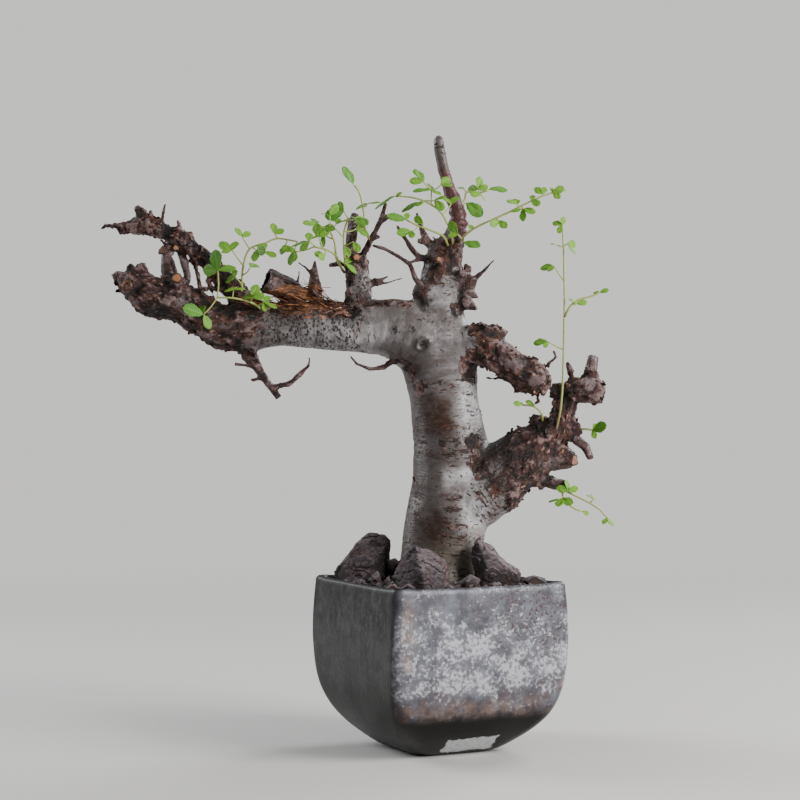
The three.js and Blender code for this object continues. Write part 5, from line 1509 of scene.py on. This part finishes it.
def add_blade(joint, axes, turn, length, chance, grown):
    """Adds one leaflet as a thin closed sheet."""
    across, up, face = axes
    forward = across * math.cos(turn) + up * math.sin(turn)
    sideways = up * math.cos(turn) - across * math.sin(turn)
    roll = math.radians(ROLL * (2 * draw(31 * chance + length) - 1))
    pitch = math.radians(PITCH * (2 * draw(17 * chance + 3 * length) - 1))
    forward, face = tipped(forward, face, pitch)
    sideways, face = tipped(sideways, face, roll)
    half = length * BLADE_WIDTH / 2
    blade_faces.extend(sheet_faces(len(blade_points), BLADE_ROWS, BLADE_COLUMNS + 1))
    for side, i in itertools.product((0, 1), range(BLADE_ROWS)):
        u = 0.03 + 0.97 * i / (BLADE_ROWS - 1)
        width = max(blade_width(u), 0.045 if u < 0.5 else 0.02)
        for j in range(BLADE_COLUMNS + 1):
            v = 2 * j / BLADE_COLUMNS - 1
            lift = length * ((0.5 * chance - 0.25) * u - BLADE_DROOP * u * u - BLADE_CUP * v * v * width)
            fold = BLADE_FOLD * abs(v) * width * (1 - 0.5 * u)
            lift += length * (fold + BLADE_RIPPLE * math.sin(9 * u + 4 * v + 20 * chance))
            lift += BLADE_THICKNESS * (0.5 - side)
            spot = joint + forward * (u * length) + sideways * (v * width * half)
            blade_points.append(spot + face * lift)
            on_leaf.append((u, v, grown))


def add_stem(route, step, sides, woody=True):
    """Adds a stem or a stalk along a route of points with radii. Only a stem turns woody at its foot."""
    fine_route = smooth_route(route, step)[0]
    points, faces, shares = tube(fine_route[:, :3], fine_route[:, 3], sides)
    stem_faces.extend(tuple(len(stem_points) + index for index in face) for face in faces)
    stem_points.extend(points)
    up_stem.extend(shares if woody else [1.0] * len(points))


for shoot_index, (name, growth) in enumerate(SHOOTS.items()):
    blade_points, blade_faces, on_leaf = [], [], []
    stem_points, stem_faces, up_stem = [], [], []
    for route in growth["stems"]:
        taper = STEM_TAPER / len(route)
        add_stem([[*point, STEM_RADIUS - taper * i] for i, point in enumerate(route)], 1.6, STEM_SIDES)
    for leaf_index, (origin, joint, leaflets) in enumerate(growth["leaves"]):
        seed = FIRST_SEED + 20 * shoot_index + leaf_index
        origin, joint = np.array(origin, dtype=float), np.array(joint, dtype=float)
        bow = (origin + joint) / 2 + np.array([0.5, 0.5, -0.6]) * (draw(seed) + 0.2)
        stalk = [[*origin, STALK_RADIUS], [*bow, STALK_RADIUS], [*joint, STALK_RADIUS * 0.8]]
        add_stem(stalk, 1.2, STALK_SIDES, woody=False)
        face = np.array([0.8 * (draw(seed * 7) - 0.5), -0.8, 0.35 + 0.5 * draw(seed * 9)])
        face = face / np.linalg.norm(face)
        across = np.array([1.0, 0, 0]) - face * face[0]
        across = across / np.linalg.norm(across)
        axes = (across, np.cross(face, across), face)
        for i, (heading, length) in enumerate(leaflets):
            grown = min(1.0, max(0.0, (length - 7) / 8)) * 0.8 + 0.2 * draw(seed + 3 * i)
            add_blade(joint, axes, math.radians(heading), length, draw(seed * 5 + i), grown)
    leaves = add_piece(name + "_leaves", np.array(blade_points) * MM, blade_faces, leaf)
    leaves.data.set_sharp_from_angle(angle=math.radians(SHARP_FROM))
    set_values(leaves, "on_leaf", on_leaf, "FLOAT_VECTOR")
    stems = add_piece(name + "_stems", np.array(stem_points) * MM, stem_faces, stem)
    set_values(stems, "up_stem", up_stem)
    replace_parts(leaves, name)
    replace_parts(stems, name)
